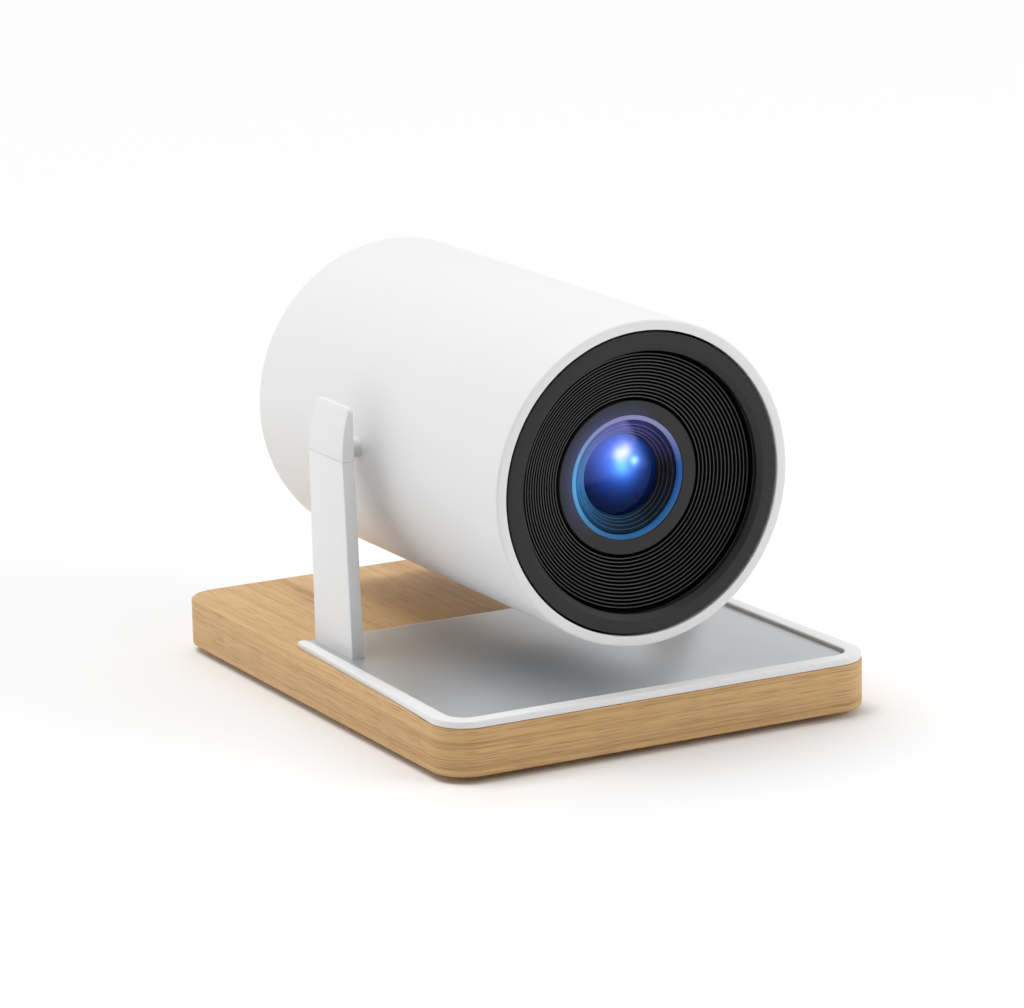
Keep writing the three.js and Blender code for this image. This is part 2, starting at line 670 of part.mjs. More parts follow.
const PORT_FLOOR_Z = -45.6;
const PORT_FRONT_Y = REAR_FACE_Y - REAR_WALL - GAP;
const VIDEO_SOCKET = { x: -19, halfWidth: 7.6, height: 5.8, depth: 11.5 };
const DATA_SOCKET = { x: -1.5, halfWidth: 6.7, height: 6.2, depth: 13 };
const AUDIO = { x: 12, halfWidth: 3.3, height: 6.6, depth: 12 };
const POWER_INLET = { x: 22, halfWidth: 4.6, height: 9.2, depth: 13 };
const PORTS = [VIDEO_SOCKET, DATA_SOCKET, AUDIO, POWER_INLET];

const GRILLE_RADIUS = 34;
const GRILLE_SLOT = 3;
const GRILLE_PITCH = 6.4;
const IR_PLACE = { x: 33, z: 38, radius: 3.2 };

function portWindow(port, slack) {
  return box(
    [port.x - port.halfWidth - slack, port.x + port.halfWidth + slack],
    [REAR_FACE_Y - REAR_WALL - 1, REAR_FACE_Y + 1],
    [PORT_FLOOR_Z - slack, PORT_FLOOR_Z + port.height + slack],
  );
}

function makeRearCover() {
  const outer = SHELL_INNER_RADIUS - GAP;
  const inner = outer - 2;
  const wallY = REAR_FACE_Y - REAR_WALL;
  const cup = turned([
    [0, REAR_FACE_Y],
    [outer - 0.5, REAR_FACE_Y],
    [outer, REAR_FACE_Y - 0.5],
    [outer, REAR_FACE_Y - REAR_SKIRT],
    [inner, REAR_FACE_Y - REAR_SKIRT],
    [inner, wallY],
    [0, wallY],
  ]);
  const slots = [];
  const count = Math.floor(GRILLE_RADIUS / GRILLE_PITCH);
  for (let row = -count; row <= count; row += 1) {
    const z = row * GRILLE_PITCH;
    const half = Math.sqrt(GRILLE_RADIUS ** 2 - z ** 2);
    slots.push(box([-half, half], [wallY - 1, REAR_FACE_Y + 1], [z - GRILLE_SLOT / 2, z + GRILLE_SLOT / 2]));
  }
  const rib = box([-1.2, 1.2], [wallY, REAR_FACE_Y - 0.6], [-GRILLE_RADIUS, GRILLE_RADIUS]);
  const through = [wallY - 1, REAR_FACE_Y + 1];
  const keyHoles = KEYS.map(([, x, radius]) => rod(radius + GAP, through, x, KEYS_Z));
  const irHole = rod(IR_PLACE.radius + GAP, through, IR_PLACE.x, IR_PLACE.z);
  const windows = PORTS.map((port) => portWindow(port, 0));
  const screwHoles = SIDES.map(([, side]) => rod(REAR_SCREW_RADIUS + GAP, through, side * BOSS_X, 0, TINY));
  const seatSpan = [REAR_FACE_Y - 1.2, REAR_FACE_Y + 1];
  const screwSeats = SIDES.map(([, side]) => rod(3.2, seatSpan, side * BOSS_X, 0));
  const reliefSpan = [REAR_FACE_Y - REAR_SKIRT - 1, wallY - GAP];
  const bossRelief = box([-60, 60], reliefSpan, [-BOSS_RADIUS - 1, BOSS_RADIUS + 1]);
  const open = cut(cup, bossRelief, ...slots);
  const cover = cut(join(open, rib), ...keyHoles, irHole, ...windows, ...screwHoles, ...screwSeats);
  return piece('rear_cover', cover, 'darkPlastic');
}

function makeRearScrew([name, side]) {
  const head = rod(2.8, [REAR_FACE_Y - 0.9, REAR_FACE_Y - 0.1]);
  const shank = rod(REAR_SCREW_RADIUS, [REAR_FACE_Y - 14, REAR_FACE_Y - 0.5], 0, 0, TINY);
  const slot = box([-0.4, 0.4], [REAR_FACE_Y - 0.5, REAR_FACE_Y + 1], [-2.2, 2.2]);
  const screw = piece(`rear_screw_${name}`, cut(join(head, shank), slot), 'steel');
  screw.position.set(side * BOSS_X, 0, 0);
  return screw;
}

function makeKey([name, x, radius]) {
  const wallY = REAR_FACE_Y - REAR_WALL;
  const capFront = wallY - GAP - KEY_FLANGE_THICKNESS;
  const stemEnd = KEY_BOARD_Y + BOARD_SHEET + SWITCH_HEIGHT + KEY_TRAVEL + GAP;
  const cap = turned([
    [0, capFront],
    [radius + KEY_FLANGE, capFront],
    [radius + KEY_FLANGE, wallY - GAP],
    [radius, wallY - GAP],
    [radius, REAR_FACE_Y + KEY_PROUD - 0.4],
    [radius - 0.4, REAR_FACE_Y + KEY_PROUD],
    [0, REAR_FACE_Y + KEY_PROUD - 0.3],
  ], COARSE);
  const stem = rod(KEY_STEM_RADIUS, [stemEnd, capFront + 0.5], 0, 0, TINY);
  const key = piece(name, join(cap, stem), 'whitePlastic');
  key.position.set(x, 0, KEYS_Z);
  return key;
}

function makeKeyBoard() {
  const sheetBack = KEY_BOARD_Y + BOARD_SHEET;
  const sheet = box([-22, 22], [KEY_BOARD_Y, sheetBack], [-5, 5]);
  const switches = KEYS.map(([, x]) => {
    const body = box([x - 3, x + 3], [sheetBack - 0.5, sheetBack + SWITCH_HEIGHT - 1], [-3, 3]);
    return body.add(rod(KEY_STEM_RADIUS, [sheetBack, sheetBack + SWITCH_HEIGHT], x, 0, TINY));
  });
  const board = piece('key_board', join(sheet, ...switches), 'circuitBoard');
  board.position.set(0, 0, KEYS_Z);
  return board;
}

function makeIrWindow() {
  const wallY = REAR_FACE_Y - REAR_WALL;
  const plug = rod(IR_PLACE.radius, [wallY - 0.5, REAR_FACE_Y]);
  const flange = rod(IR_PLACE.radius + 1, [wallY - 1.3, wallY - GAP]);
  const window = piece('ir_window', plug.add(flange), 'panelGlass');
  window.position.set(IR_PLACE.x, 0, IR_PLACE.z);
  return window;
}

function portCan(port, wall) {
  const { halfWidth, height, depth } = port;
  const back = PORT_FRONT_Y - depth;
  const can = box([-halfWidth, halfWidth], [back, PORT_FRONT_Y], [0, height]);
  const cavity = box(
    [-halfWidth + wall, halfWidth - wall],
    [back + 2, PORT_FRONT_Y + 1],
    [wall, height - wall],
  );
  return { can: cut(can, cavity), back };
}

function makeFlatPort(name, port, tongue) {
  const wall = 0.5;
  const { can, back } = portCan(port, wall);
  const middle = wall + tongue.low;
  const blade = box(
    [-tongue.halfWidth, tongue.halfWidth],
    [back + 1, PORT_FRONT_Y - 2.5],
    [middle, middle + tongue.thickness],
  );
  const mesh = piece(name, can.add(blade), 'steel');
  mesh.position.set(port.x, 0, PORT_FLOOR_Z);
  return mesh;
}

function makeRoundPort(name, port, holeRadius, pinRadius, finish) {
  const { halfWidth, height, depth } = port;
  const back = PORT_FRONT_Y - depth;
  const middleZ = height / 2;
  const block = box([-halfWidth, halfWidth], [back, PORT_FRONT_Y], [0, height]);
  const hole = rod(holeRadius, [back + 2, PORT_FRONT_Y + 1], 0, middleZ);
  const hollow = cut(block, hole);
  const pinSpan = [back + 1, PORT_FRONT_Y - 1.5];
  const socket = pinRadius ? hollow.add(rod(pinRadius, pinSpan, 0, middleZ, 12)) : hollow;
  const mesh = piece(name, socket, finish);
  mesh.position.set(port.x, 0, PORT_FLOOR_Z);
  return mesh;
}

function makePortBoard() {
  const top = PORT_FLOOR_Z - GAP;
  const sheet = box([-27.5, 27.5], [66, PORT_FRONT_Y - GAP], [top - BOARD_SHEET, top]);
  const chip = box([-5, 5], [70, 78], [top - 0.5, top + 1.4]);
  return piece('port_board', join(sheet, chip), 'circuitBoard');
}

// ---------------------------------------------------------------- head: focusing lens

const BULKHEAD_SPAN_Y = [-80, -77];
const CARRIAGE_SPAN_Y = [-70, -66];
const GUIDE_RADIUS = 1.5;
const GUIDE_X = 36;
const FOCUS_SCREW_Z = -36;
const FOCUS_MOTOR_SPAN_Y = [-58, -38.4];
const FOCUS_MOTOR_RADIUS = 7.5;
const LENS_TUBE_RADIUS = 25;
const LENS_TUBE_REAR_Y = -40;
const SLIDE_CLEARANCE = 0.3;

function makeLensRing() {
  return piece('lens_front_ring', turned([
    [LENS_RING_RADIUS, LENS_RING_Y],
    [LENS_RING_RADIUS, LENS_SEAT_Y + 0.8],
    [LENS_GLASS_RADIUS - 0.6, LENS_SEAT_Y + 0.8],
    [LENS_GLASS_RADIUS - 0.6, LENS_SEAT_Y],
    [LENS_GLASS_RADIUS + 0.4, LENS_RING_Y + 0.2],
    [LENS_GLASS_RADIUS + 0.7, LENS_RING_Y],
  ], MEDIUM), 'darkPlastic');
}

function makeLensBarrel() {
  const front = LENS_SEAT_Y + 0.8 + GAP;
  const glassSeat = front + 5.2;
  const innerSeat = glassSeat + 2.5;
  const innerBack = innerSeat + 6;
  const tube = turned([
    [LENS_RING_RADIUS, front],
    [LENS_RING_RADIUS, CARRIAGE_SPAN_Y[1]],
    [LENS_TUBE_RADIUS, CARRIAGE_SPAN_Y[1]],
    [LENS_TUBE_RADIUS, LENS_TUBE_REAR_Y],
    [LENS_TUBE_RADIUS - 2, LENS_TUBE_REAR_Y],
    [LENS_TUBE_RADIUS - 2, innerBack],
    [LENS_INNER_RADIUS - 1, innerBack],
    [LENS_INNER_RADIUS - 1, innerBack - 1.5],
    [LENS_INNER_RADIUS + GAP, innerBack - 1.5],
    [LENS_INNER_RADIUS + GAP, innerSeat],
    [LENS_GLASS_RADIUS - 2, glassSeat],
    [LENS_GLASS_RADIUS + GAP, glassSeat],
    [LENS_GLASS_RADIUS + GAP, front],
  ], MEDIUM);
  const lugs = SIDES.map(([, side]) => box(spanOnSide(side, 27, 39.5), CARRIAGE_SPAN_Y, [-4, 4]));
  const nutLug = box([-4, 4], CARRIAGE_SPAN_Y, [FOCUS_SCREW_Z - 3.5, -27]);
  const through = [CARRIAGE_SPAN_Y[0] - 1, CARRIAGE_SPAN_Y[1] + 1];
  const holeRadius = GUIDE_RADIUS + SLIDE_CLEARANCE;
  const guideHoles = SIDES.map(([, side]) => rod(holeRadius, through, side * GUIDE_X, 0, TINY));
  const nutHole = rod(holeRadius, through, 0, FOCUS_SCREW_Z, TINY);
  return piece('lens_barrel', cut(join(tube, ...lugs, nutLug), ...guideHoles, nutHole), 'blackPlastic');
}

// A lens with a flat cylindrical edge: each face bulges by its own height, front first.
function lensSolid(radius, frontY, backY, frontBulge, backBulge) {
  const face = (y, bulge, steps) => {
    const points = [];
    for (let i = 0; i <= steps; i += 1) {
      const share = i / steps;
      points.push([radius * share, y - bulge * (1 - share ** 2)]);
    }
    return points;
  };
  const front = face(frontY, frontBulge, 3);
  const back = face(backY, -backBulge, 3).reverse();
  return turned([...front, ...back], MEDIUM);
}

function makeLenses() {
  const frontY = LENS_SEAT_Y + 0.8 + GAP;
  const backY = frontY + 4.9;
  const innerFront = backY + GAP + 3;
  const rearFront = LENS_TUBE_REAR_Y - 12;
  return [
    piece('front_lens', lensSolid(LENS_GLASS_RADIUS, frontY, backY, 0.5, -1), 'coatedGlass'),
    piece('inner_lens', lensSolid(LENS_INNER_RADIUS, innerFront + 1, innerFront + 3.8, 3, 0), 'coatedGlass'),
    piece('rear_lens', lensSolid(LENS_TUBE_RADIUS - 2.3, rearFront, rearFront + 4, 1, 3), 'clearGlass'),
  ];
}

function makeFrontBulkhead() {
  const [front, back] = BULKHEAD_SPAN_Y;
  const disc = turned([
    [LENS_RING_RADIUS + 0.8, front],
    [SHELL_INNER_RADIUS - GAP, front],
    [SHELL_INNER_RADIUS - GAP, back],
    [LENS_RING_RADIUS + 0.8, back],
  ], MEDIUM);
  const bearing = rod(GUIDE_RADIUS + SLIDE_CLEARANCE, [front - 1, back + 1], 0, FOCUS_SCREW_Z, TINY);
  const windows = SIDES.map(([, side]) => box(spanOnSide(side, 28, 46), [front - 1, back + 1], [26, 34]));
  return piece('front_bulkhead', cut(disc, bearing, ...windows), 'darkPlastic');
}

function makeGuideRod([name, side]) {
  const span = [BULKHEAD_SPAN_Y[1] + GAP, FOCUS_MOTOR_SPAN_Y[1]];
  const guide = piece(`focus_guide_rod_${name}`, rod(GUIDE_RADIUS, span, 0, 0, TINY), 'steel');
  guide.position.set(side * GUIDE_X, 0, 0);
  return guide;
}

function makeFocusScrew() {
  const span = [BULKHEAD_SPAN_Y[0] + 0.5, FOCUS_MOTOR_SPAN_Y[0] + 3];
  const collar = rod(2.6, [FOCUS_MOTOR_SPAN_Y[0] - 2, FOCUS_MOTOR_SPAN_Y[0] - 0.6], 0, 0, TINY);
  const screw = piece('focus_screw', rod(GUIDE_RADIUS, span, 0, 0, TINY).add(collar), 'brass');
  screw.position.set(0, 0, FOCUS_SCREW_Z);
  return screw;
}

function makeFocusMotor() {
  const [front, back] = FOCUS_MOTOR_SPAN_Y;
  const can = rod(FOCUS_MOTOR_RADIUS, [front, back], 0, 0);
  const bore = rod(GUIDE_RADIUS + SLIDE_CLEARANCE, [front - 1, front + 3.6], 0, 0, TINY);
  const terminalZ = [-FOCUS_MOTOR_RADIUS - 1.5, -FOCUS_MOTOR_RADIUS + 1];
  const terminal = box([-4, 4], [front + 5, front + 12], terminalZ);
  const motor = piece('focus_motor', cut(join(can, terminal), bore), 'steel');
  motor.position.set(0, 0, FOCUS_SCREW_Z);
  return motor;
}

// ---------------------------------------------------------------- head: light engine and cooling

const ENGINE_HALF_WIDTH = 41;
const ENGINE_HALF_HEIGHT = 34;
const ENGINE_SPAN_Y = [-38, 38];
const ENGINE_WALL = 2;
const LIGHT_PORT_RADIUS = 22;
const OPTIC_HALF_WIDTH = ENGINE_HALF_WIDTH - ENGINE_WALL - GAP;
const OPTIC_HALF_HEIGHT = ENGINE_HALF_HEIGHT - ENGINE_WALL - GAP;
const PLATES = [
  ['fresnel_front', -16, 2, 'clearGlass'],
  ['lcd_panel', -6, 3, 'panelGlass'],
  ['fresnel_rear', 5, 2, 'clearGlass'],
];
const FAN_SPAN_Y = [64, 79];
const FAN_HALF_WIDTH = 35;
const FAN_BORE = 32.5;

function makeEngineCase() {
  const [front, back] = ENGINE_SPAN_Y;
  const outside = crossPlate(ENGINE_HALF_WIDTH, ENGINE_HALF_HEIGHT, ENGINE_SPAN_Y);
  const hollow = crossPlate(
    ENGINE_HALF_WIDTH - ENGINE_WALL,
    ENGINE_HALF_HEIGHT - ENGINE_WALL,
    [front + ENGINE_WALL, back + 1],
  );
  const port = rod(LIGHT_PORT_RADIUS, [front - 1, front + ENGINE_WALL + 1]);
  const ribs = PLATES.map(([, y, thickness]) => {
    const ribBack = y + thickness + GAP + 1.5;
    const frame = crossPlate(ENGINE_HALF_WIDTH - 1, ENGINE_HALF_HEIGHT - 1, [y + thickness + GAP, ribBack]);
    return cut(frame, crossPlate(OPTIC_HALF_WIDTH - 3, OPTIC_HALF_HEIGHT - 3, [y, ribBack + 1]));
  });
  return piece('engine_case', join(cut(outside, hollow, port), ...ribs), 'blackPlastic');
}

function makeOpticPlates() {
  return PLATES.map(([name, y, thickness, finish]) => {
    const plate = crossPlate(OPTIC_HALF_WIDTH, OPTIC_HALF_HEIGHT, [0, thickness]);
    const mesh = piece(name, plate, finish);
    mesh.position.set(0, y, 0);
    return mesh;
  });
}

function makeCondenser() {
  return piece('condenser_lens', lensSolid(OPTIC_HALF_HEIGHT - 2, 24, 28, 8, 0), 'clearGlass');
}

function makeLedBoard() {
  const sheet = crossPlate(30, 24, [39, 41]);
  const chip = crossPlate(9, 9, [37.4, 39.5]);
  return piece('led_board', join(sheet, chip), 'aluminium');
}

function makeHeatSink() {
  const front = 41.4;
  const base = crossPlate(35, 29, [front, front + 4]);
  const fins = [];
  for (let i = -6; i <= 6; i += 1) {
    const x = i * 5.6;
    fins.push(box([x - 0.7, x + 0.7], [front + 3, FAN_SPAN_Y[0] - 1.5], [-29, 29]));
  }
  return piece('heat_sink', join(base, ...fins), 'aluminium');
}

function makeFanFrame() {
  const [front, back] = FAN_SPAN_Y;
  const corner = [FAN_HALF_WIDTH, FAN_HALF_WIDTH];
  const outline = roundedRectangle(corner.map((value) => -value), corner, 4);
  const block = extruded(outline, Z, X, Y, front, back - front);
  const opening = rod(FAN_BORE, [front - 1, back + 1], 0, 0, MEDIUM);
  const hub = rod(12, [back - 2.5, back]);
  const struts = [0, 1, 2].map((i) => {
    const strut = box([0, FAN_BORE + 1], [back - 2, back], [-1.2, 1.2]);
    return strut.rotate([0, 60 + i * 120, 0]);
  });
  return piece('fan_frame', join(cut(block, opening), hub, ...struts), 'blackPlastic');
}

// Seven blades, each a flat vane set at an angle to the shaft, on a round hub.
function makeFanRotor() {
  const front = FAN_SPAN_Y[0] + 1;
  const back = FAN_SPAN_Y[1] - 3.2;
  const hub = rod(12, [front, back]);
  const blades = [];
  for (let i = 0; i < 7; i += 1) {
    const vane = box([9, FAN_BORE - 1.2], [-0.7, 0.7], [-5.5, 5.5]);
    const pitched = vane.rotate([40, 0, 0]).translate([0, (front + back) / 2, 0]);
    blades.push(pitched.rotate([0, (i * 360) / 7, 0]));
  }
  return piece('fan_rotor', join(hub, ...blades), 'blackPlastic');
}

function makeMainBoard() {
  const bottom = 41;
  const sheet = box([-35, 35], [-58, 60], [bottom, bottom + BOARD_SHEET]);
  const top = bottom + BOARD_SHEET - 0.3;
  const processor = box([-11, 11], [-20, 2], [top, top + 5]);
  const memory = box([-27, -17], [-18, 0], [top, top + 1.6]);
  const powerStage = box([14, 30], [20, 34], [top, top + 2.6]);
  const lampSocket = box([-8, 8], [50, 57], [top, top + 5]);
  return piece('main_board', join(sheet, processor, memory, powerStage, lampSocket), 'circuitBoard');
}

function makeSpeaker() {
  const bottom = -51.5;
  const basket = rodAlongZ(16.5, [bottom, bottom + 3], 0, 0, MEDIUM);
  const cone = new THREE.CylinderGeometry(16, 9, 6, MEDIUM);
  cone.rotateX(-Math.PI / 2).translate(0, 0, bottom + 5.8);
  const magnet = rodAlongZ(9, [bottom + 8, bottom + 14], 0, 0);
  const mouth = new THREE.CylinderGeometry(13.5, 5, 5, MEDIUM);
  mouth.rotateX(-Math.PI / 2).translate(0, 0, bottom + 2.4);
  const driver = cut(join(basket, toSolid(cone), magnet), toSolid(mouth));
  const mesh = piece('speaker', driver, 'blackPlastic');
  mesh.position.set(0, SLOT_ROWS_Y[0], 0);
  return mesh;
}

// ---------------------------------------------------------------- the whole projector

function makeStand() {
  const stand = new THREE.Group();
  stand.add(makeBoard(), makeRim(), makeDeck(), makeYokeBar());
  stand.add(...SIDES.map(makeArm), ...SIDES.map(makeArmCap), ...SIDES.map(makeFrictionWasher));
  stand.add(...YOKE_SCREWS.map(makeYokeScrew), ...FEET.map(makeFoot));
  return stand;
}

function makeHead() {
  const head = new THREE.Group();
  head.add(makeShell(), makeFrontBezel(), makeBaffleCone());
  head.add(...SIDES.map(makePivotHub), ...SIDES.map(makePivotPin));
  head.add(makeLensRing(), makeLensBarrel(), ...makeLenses());
  head.add(makeFrontBulkhead(), ...SIDES.map(makeGuideRod), makeFocusScrew(), makeFocusMotor());
  head.add(makeEngineCase(), ...makeOpticPlates(), makeCondenser(), makeLedBoard(), makeHeatSink());
  head.add(makeFanFrame(), makeFanRotor(), makeMainBoard(), makeSpeaker());
  head.add(makeRearCover(), ...SIDES.map(makeRearScrew), makeIrWindow());
  head.add(...KEYS.map(makeKey), makeKeyBoard(), makePortBoard());
  head.add(makeFlatPort('video_socket', VIDEO_SOCKET, { low: 1.7, thickness: 1.2, halfWidth: 6 }));
  head.add(makeFlatPort('data_socket', DATA_SOCKET, { low: 3, thickness: 1.7, halfWidth: 5.4 }));
  head.add(makeRoundPort('audio_jack', AUDIO, 1.8, 0, 'blackPlastic'));
  head.add(makeRoundPort('power_inlet', POWER_INLET, 3, 1, 'blackPlastic'));
  head.position.z = AXIS_Z;
  return head;
}

const projector = new THREE.Group();
projector.add(makeStand(), makeHead());

export default projector;
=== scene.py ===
"""Looks of the home projector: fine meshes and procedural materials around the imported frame.

Lengths in the constants are millimetres; every Blender object is in metres, in the frame of the CAD part.
The lens looks along -Y, +Z is up, and left is -X, as seen from in front of the lens.
"""

import json
import math

import bmesh
import bpy
from mathutils import Matrix, Vector


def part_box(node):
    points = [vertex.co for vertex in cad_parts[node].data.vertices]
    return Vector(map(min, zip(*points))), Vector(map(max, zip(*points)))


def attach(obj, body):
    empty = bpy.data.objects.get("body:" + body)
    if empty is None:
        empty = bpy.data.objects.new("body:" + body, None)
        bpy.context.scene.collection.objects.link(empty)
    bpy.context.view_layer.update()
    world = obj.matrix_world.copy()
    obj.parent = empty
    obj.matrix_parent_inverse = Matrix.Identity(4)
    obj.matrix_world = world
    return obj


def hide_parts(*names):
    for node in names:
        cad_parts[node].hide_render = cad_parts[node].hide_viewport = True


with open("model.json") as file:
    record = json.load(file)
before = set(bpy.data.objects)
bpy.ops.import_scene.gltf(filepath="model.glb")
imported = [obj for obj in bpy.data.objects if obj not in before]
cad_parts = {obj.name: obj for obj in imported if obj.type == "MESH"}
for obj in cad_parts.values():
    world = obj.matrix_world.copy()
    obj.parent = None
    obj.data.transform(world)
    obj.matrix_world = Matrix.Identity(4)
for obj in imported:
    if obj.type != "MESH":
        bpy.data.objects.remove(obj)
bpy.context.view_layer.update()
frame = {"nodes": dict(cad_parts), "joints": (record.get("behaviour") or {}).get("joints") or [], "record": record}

MM = 0.001
SMOOTH_ANGLE = math.radians(32)
ROUND_SEGMENTS = 256
SMALL_SEGMENTS = 64
SIDES = (("left", -1), ("right", 1))

# ------------ sizes read from the frame


def low(node):
    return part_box(node)[0] / MM


def high(node):
    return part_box(node)[1] / MM


def ends(node):
    return low(node), high(node)


def middle(node):
    return (low(node) + high(node)) / 2


TILT = next(joint for joint in frame["joints"] if joint["name"] == "head_tilt")
PIVOT_Y = TILT["pos_m"][1] / MM
AXIS_Z = TILT["pos_m"][2] / MM
AXIS_POINT = (0, 0, AXIS_Z)
SHELL_RADIUS = high("barrel_shell").z - AXIS_Z
SHELL_FRONT = low("barrel_shell").y
SHELL_REAR = high("barrel_shell").y
BOARD_TOP = high("base_board").z
BOARD_BOTTOM = low("base_board").z
REAR_FACE = high("rear_cover").y


# ------------ camera, light and floor

CAMERA = {
    "azimuth": -28.15,
    "elevation": 13.68,
    "distance": 1786.3,
    "roll": -1.2,
    "target_right": -1.0,
    "target_z": 68.5,
    "lens": 166.15,
}


def placed(name, data):
    """A new object in the scene."""
    item = bpy.data.objects.new(name, data)
    bpy.context.scene.collection.objects.link(item)
    return item


def make_camera():
    azimuth = math.radians(CAMERA["azimuth"])
    elevation = math.radians(CAMERA["elevation"])
    roll = math.radians(CAMERA["roll"])
    level = math.cos(elevation)
    back = Vector((math.sin(azimuth) * level, -math.cos(azimuth) * level, math.sin(elevation)))
    flat_right = Vector((math.cos(azimuth), math.sin(azimuth), 0))
    flat_up = back.cross(flat_right)
    right = flat_right * math.cos(roll) + flat_up * math.sin(roll)
    up = flat_up * math.cos(roll) - flat_right * math.sin(roll)
    target = Vector((0, 0, CAMERA["target_z"])) + right * CAMERA["target_right"]
    place = (target + back * CAMERA["distance"]) * MM
    data = bpy.data.cameras.new("camera")
    data.lens = CAMERA["lens"]
    data.clip_start = 0.05
    data.clip_end = 100
    camera = placed("camera", data)
    camera.matrix_world = Matrix.Translation(place) @ Matrix((right, up, back)).transposed().to_4x4()
    bpy.context.scene.camera = camera


def add_light(data, direction, place=(0, 0, 0)):
    light = placed(data.name, data)
    light.location = place
    light.rotation_mode = "QUATERNION"
    light.rotation_quaternion = Vector(direction).to_track_quat("-Z", "Y")


# The tent is dim where the direction from the object comes near DIM_SIDE: between these two cosines.
DIM_SIDE = (-0.40, -0.90, 0.16)
DIM_COSINES = (0.3, 0.9)
WORLD_BRIGHT = 0.78
WORLD_DIM = 0.14
SUN_DIRECTION = (0.30, -0.20, -1)
SUN_ENERGY = 1.4
SUN_ANGLE = 38
BOX_DIRECTION = (-0.80, 0.95, -0.67)
BOX_PLACE = (0.80, -0.95, 0.75)
BOX_SIZE = 0.7
BOX_POWER = 3.9
FLOOR_REACH = 30
FLOOR_TONE = (0.91, 0.91, 0.91)


def make_world():
    """A white tent that is darker on the camera's side, as in a studio."""
    world = bpy.data.worlds.new("studio")
    bpy.context.scene.world = world
    world.use_nodes = True
    tree = world.node_tree
    place = tree.nodes.new("ShaderNodeTexCoord")
    dot = tree.nodes.new("ShaderNodeVectorMath")
    dot.operation = "DOT_PRODUCT"
    dot.inputs[1].default_value = DIM_SIDE
    tree.links.new(place.outputs["Generated"], dot.inputs[0])
    strength = tree.nodes.new("ShaderNodeMapRange")
    strength.interpolation_type = "SMOOTHSTEP"
    ends_of_ranges = ("From Min", "From Max", "To Min", "To Max")
    for name, value in zip(ends_of_ranges, (*DIM_COSINES, WORLD_BRIGHT, WORLD_DIM)):
        strength.inputs[name].default_value = value
    tree.links.new(dot.outputs["Value"], strength.inputs["Value"])
    background = tree.nodes["Background"]
    background.inputs["Color"].default_value = (1, 1, 1, 1)
    tree.links.new(strength.outputs["Result"], background.inputs["Strength"])


def make_studio():
    bpy.context.scene.view_settings.view_transform = "Standard"
    make_world()
    sun = bpy.data.lights.new("key", "SUN")
    sun.energy = SUN_ENERGY
    sun.angle = math.radians(SUN_ANGLE)
    add_light(sun, SUN_DIRECTION)
    box = bpy.data.lights.new("right_box", "AREA")
    box.shape = "DISK"
    box.size = BOX_SIZE
    box.energy = BOX_POWER
    add_light(box, BOX_DIRECTION, BOX_PLACE)
    make_floor()


def make_floor():
    mesh = bpy.data.meshes.new("floor")
    corners = [(x * FLOOR_REACH, y * FLOOR_REACH, 0) for x, y in ((-1, -1), (1, -1), (1, 1), (-1, 1))]
    mesh.from_pydata(corners, [], [(0, 1, 2, 3)])
    floor = placed("floor", mesh)
    floor.data.materials.append(Shading("floor_paper", FLOOR_TONE, roughness=0.8).material)


# ------------ materials


